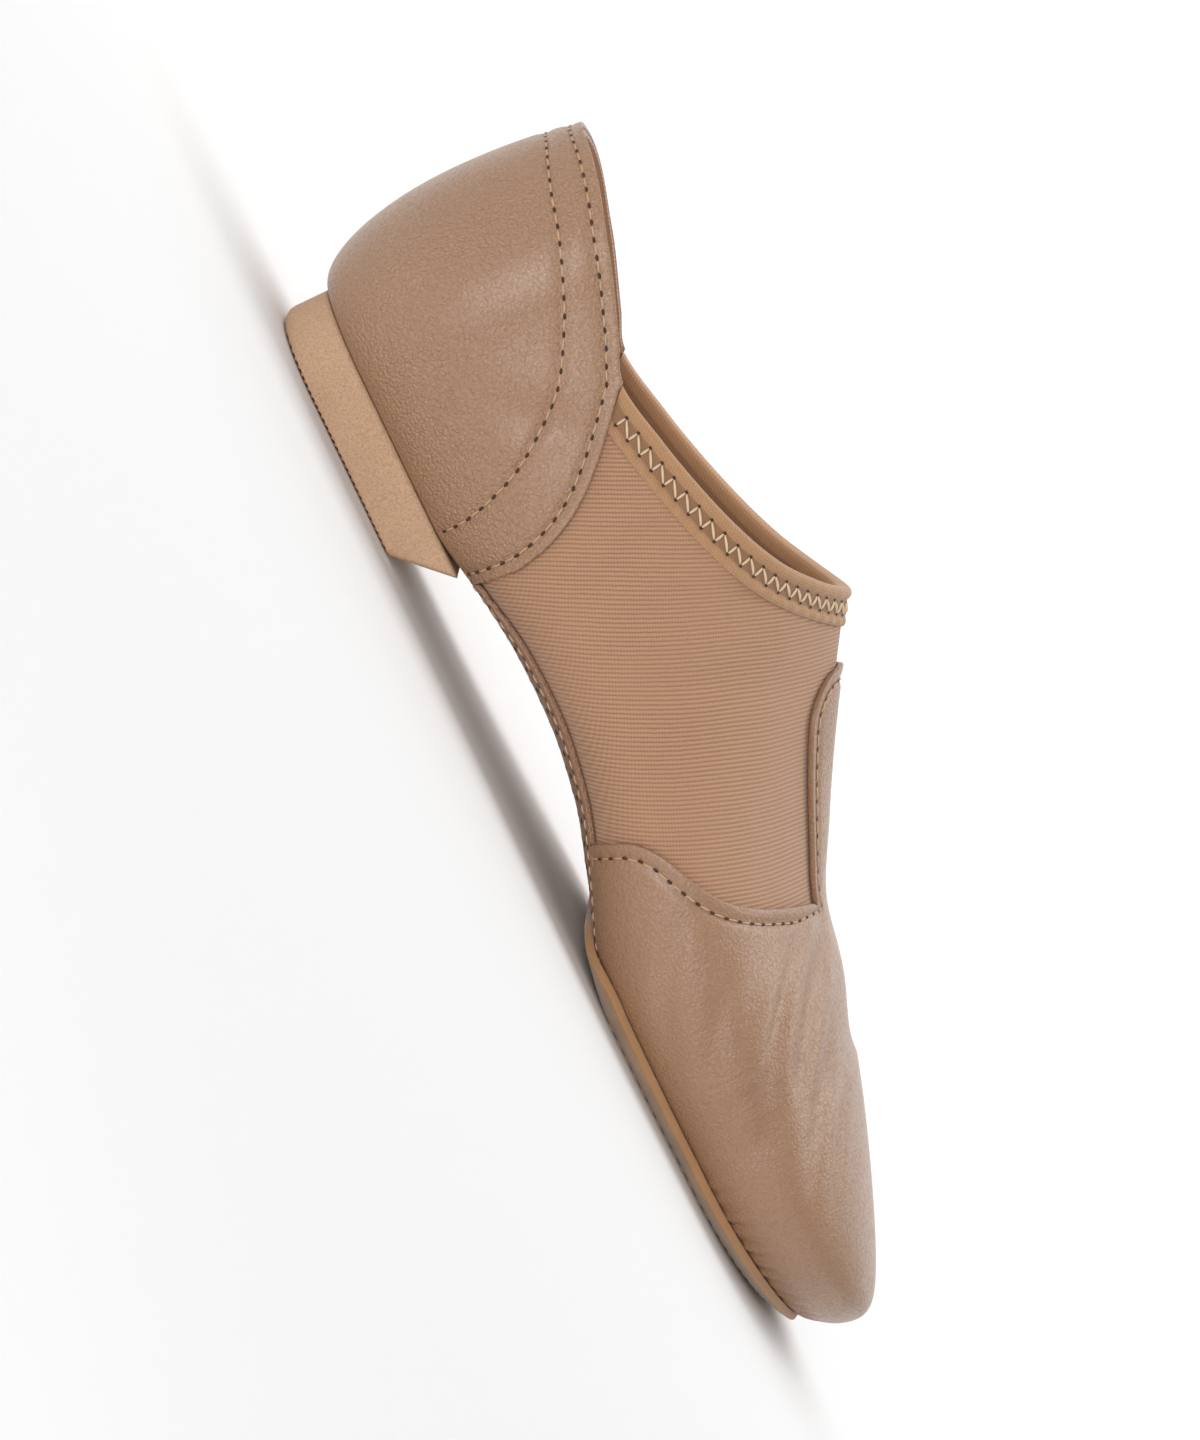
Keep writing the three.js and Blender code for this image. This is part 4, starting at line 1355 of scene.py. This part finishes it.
# %% Panel and pad seams
def under_row(edge_distance, inset, start, stop, side):
    """A row under the foot that stays a distance inside an edge."""
    walk = side * np.linspace(walk_at(start), walk_at(stop) if stop < SHOE_LENGTH else HALF_ROUND, 300)
    return np.stack([walk, climb_to_distance(walk, edge_distance(walk) - inset)], axis=1)


def panel_edge(walk):
    """Distance from the middle to the edge of the leather panel."""
    return profile(walk)["panel"] - GAP


def pad_edge(walk):
    """Distance from the middle to the edge of the pad."""
    return profile(walk)["pad"]


PANEL_SEAM = 1.2
PANEL_SEAM_RUN = (73, 152)
PAD_SEAM = 4.5
PAD_SEAM_RUN = (PAD_BACK + PAD_CORNER, SHOE_LENGTH)
panel_rows = [under_row(panel_edge, PANEL_SEAM, *PANEL_SEAM_RUN, side) for side in (OUTER, INNER)]
sew("panel_stitches", panel_rows, "perforated_leather", 0.06, 3.0)
pad_out, pad_in = [under_row(pad_edge, PAD_SEAM, *PAD_SEAM_RUN, side) for side in (OUTER, INNER)]
pad_row = np.concatenate([pad_out, pad_in[::-1]])
sew("pad_stitches", [pad_row], "suede", -(GAP + PAD_THICKNESS) + 0.05, 3.6, 0.14)


def punched(name, rows, pitch, radius, lift, slot):
    """Round holes of painted shade: dark spots at an even pitch along some rows."""
    marks, turned = zip(*[even_marks(row, pitch) for row in rows])
    made = make_object(name, *spots(np.concatenate(marks), np.concatenate(turned), radius, lift))
    dress(made, shade_in_holes, slot)


ARCH_HOLES = ((3.3, 84.0, 150), (6.7, 86.3, 150))
BALL_HOLES = (8.5, 158, 205)
arch_rows = [under_row(panel_edge, *row, side) for side in (OUTER, INNER) for row in ARCH_HOLES]
# The punched holes are dark spots: painted shade in the openings.
punched("panel_holes", arch_rows, 4.6, 0.62, 0.04, "perforated_leather")
ball_rows = [under_row(pad_edge, *BALL_HOLES, side) for side in (OUTER, INNER)]
punched("pad_holes", ball_rows, 8.5, 0.9, GAP + PAD_THICKNESS + 0.03, "suede")

# %% [markdown]
# ## Floor, light and camera
# The shoe is photographed with a long lens from its outer side, close to the floor, and the picture is
# rolled so that the sole runs down to the right. The floor curves up into the backdrop far behind the shoe,
# so that no horizon shows.

# %% Camera
SCENE = bpy.context.scene
PHOTO_HEIGHT = 1440
FORWARD_IN_PHOTO = np.array([0.4366, 0.8996])
VIEW_FROM = np.array([-0.15, -0.98, 0.085])
DISTANCE = 1.15
PIXELS_PER_MM = 5.0
AIM = np.array([-0.0115, 0.0, 0.0215])


def photo_camera():
    """A camera that looks along the view, rolled so that the shoe's forward falls as in the photograph."""
    back = Vector(unit(VIEW_FROM))
    toe = Vector((1, 0, 0))
    flat_toe = (toe - back * toe.dot(back)).normalized()
    flat_up = back.cross(flat_toe)
    right = flat_toe * FORWARD_IN_PHOTO[0] + flat_up * FORWARD_IN_PHOTO[1]
    up = back.cross(right)
    camera = bpy.data.cameras.new("photo_camera")
    made = bpy.data.objects.new("photo_camera", camera)
    SCENE.collection.objects.link(made)
    place = Vector(AIM) + back * DISTANCE
    turn = Matrix((right, up, back)).transposed()
    made.matrix_world = Matrix.Translation(place) @ turn.to_4x4()
    camera.sensor_fit = "VERTICAL"
    camera.sensor_height = 24
    seen_height = PHOTO_HEIGHT / PIXELS_PER_MM * MM
    camera.lens = camera.sensor_height * DISTANCE / seen_height
    camera.clip_end = 50
    return made


SCENE.camera = photo_camera()
print("camera at", [round(v, 3) for v in SCENE.camera.location], "lens", round(SCENE.camera.data.lens, 1))

# %% [markdown]
# The photo has plain, even light, so the white room gives most of it. One soft lamp on the camera's side
# puts the sheen on the counter, a second draws the edge of the instep, and a third is turned to the
# backdrop.

# %% Floor and light
def stage_sweep():
    """A floor that bends up into a wall: from the side it is straight, a quarter circle, then straight."""
    bend = np.radians(np.linspace(0, 90, 25))
    profile_y = np.concatenate([[-3.0], 1.2 + 1.5 * np.sin(bend), [2.7]])
    profile_z = np.concatenate([[0.0], 1.5 * (1 - np.cos(bend)), [5.0]])
    across = np.array([-5.0, 5.0])
    x, y = np.meshgrid(across, profile_y)
    z = np.repeat(profile_z[:, None], 2, axis=1)
    points = np.stack([x, y, z], axis=-1).reshape(-1, 3)
    mesh = bpy.data.meshes.new("studio_floor")
    mesh.from_pydata(points.tolist(), [], grid_faces(len(profile_y), 2).tolist())
    mesh.polygons.foreach_set("use_smooth", np.ones(len(mesh.polygons), bool))
    made = bpy.data.objects.new("studio_floor", mesh)
    SCENE.collection.objects.link(made)
    return made


floor = stage_sweep()
floor.data.materials.append(plain_finish("pale_floor", (0.88, 0.88, 0.88), 0.8))


def soft_light(name, place, size, power):
    """A square light that faces the shoe."""
    light = bpy.data.lights.new(name, "AREA")
    light.size = size
    light.energy = power
    made = bpy.data.objects.new(name, light)
    made.location = place
    made.rotation_euler = (Vector((0, 0, 0.03)) - Vector(place)).to_track_quat("-Z", "Y").to_euler()
    SCENE.collection.objects.link(made)
    return made


soft_light("key", (-0.40, -1.30, 0.17), 0.46, 8.6)
soft_light("rim", (-0.9, 0.5, 1.1), 0.7, 3)
backdrop = soft_light("backdrop", (0.3, 0.9, 2.6), 2.5, 62)
backdrop.rotation_euler = (Vector((0.3, 2.7, 0.5)) - backdrop.location).to_track_quat("-Z", "Y").to_euler()
world = bpy.data.worlds.new("white_room")
world.use_nodes = True
world.node_tree.nodes["Background"].inputs["Color"].default_value = (1, 1, 1, 1)
world.node_tree.nodes["Background"].inputs["Strength"].default_value = 0.46
SCENE.world = world
SCENE.view_settings.view_transform = "Standard"
print("lights", [made.name for made in bpy.data.lights])
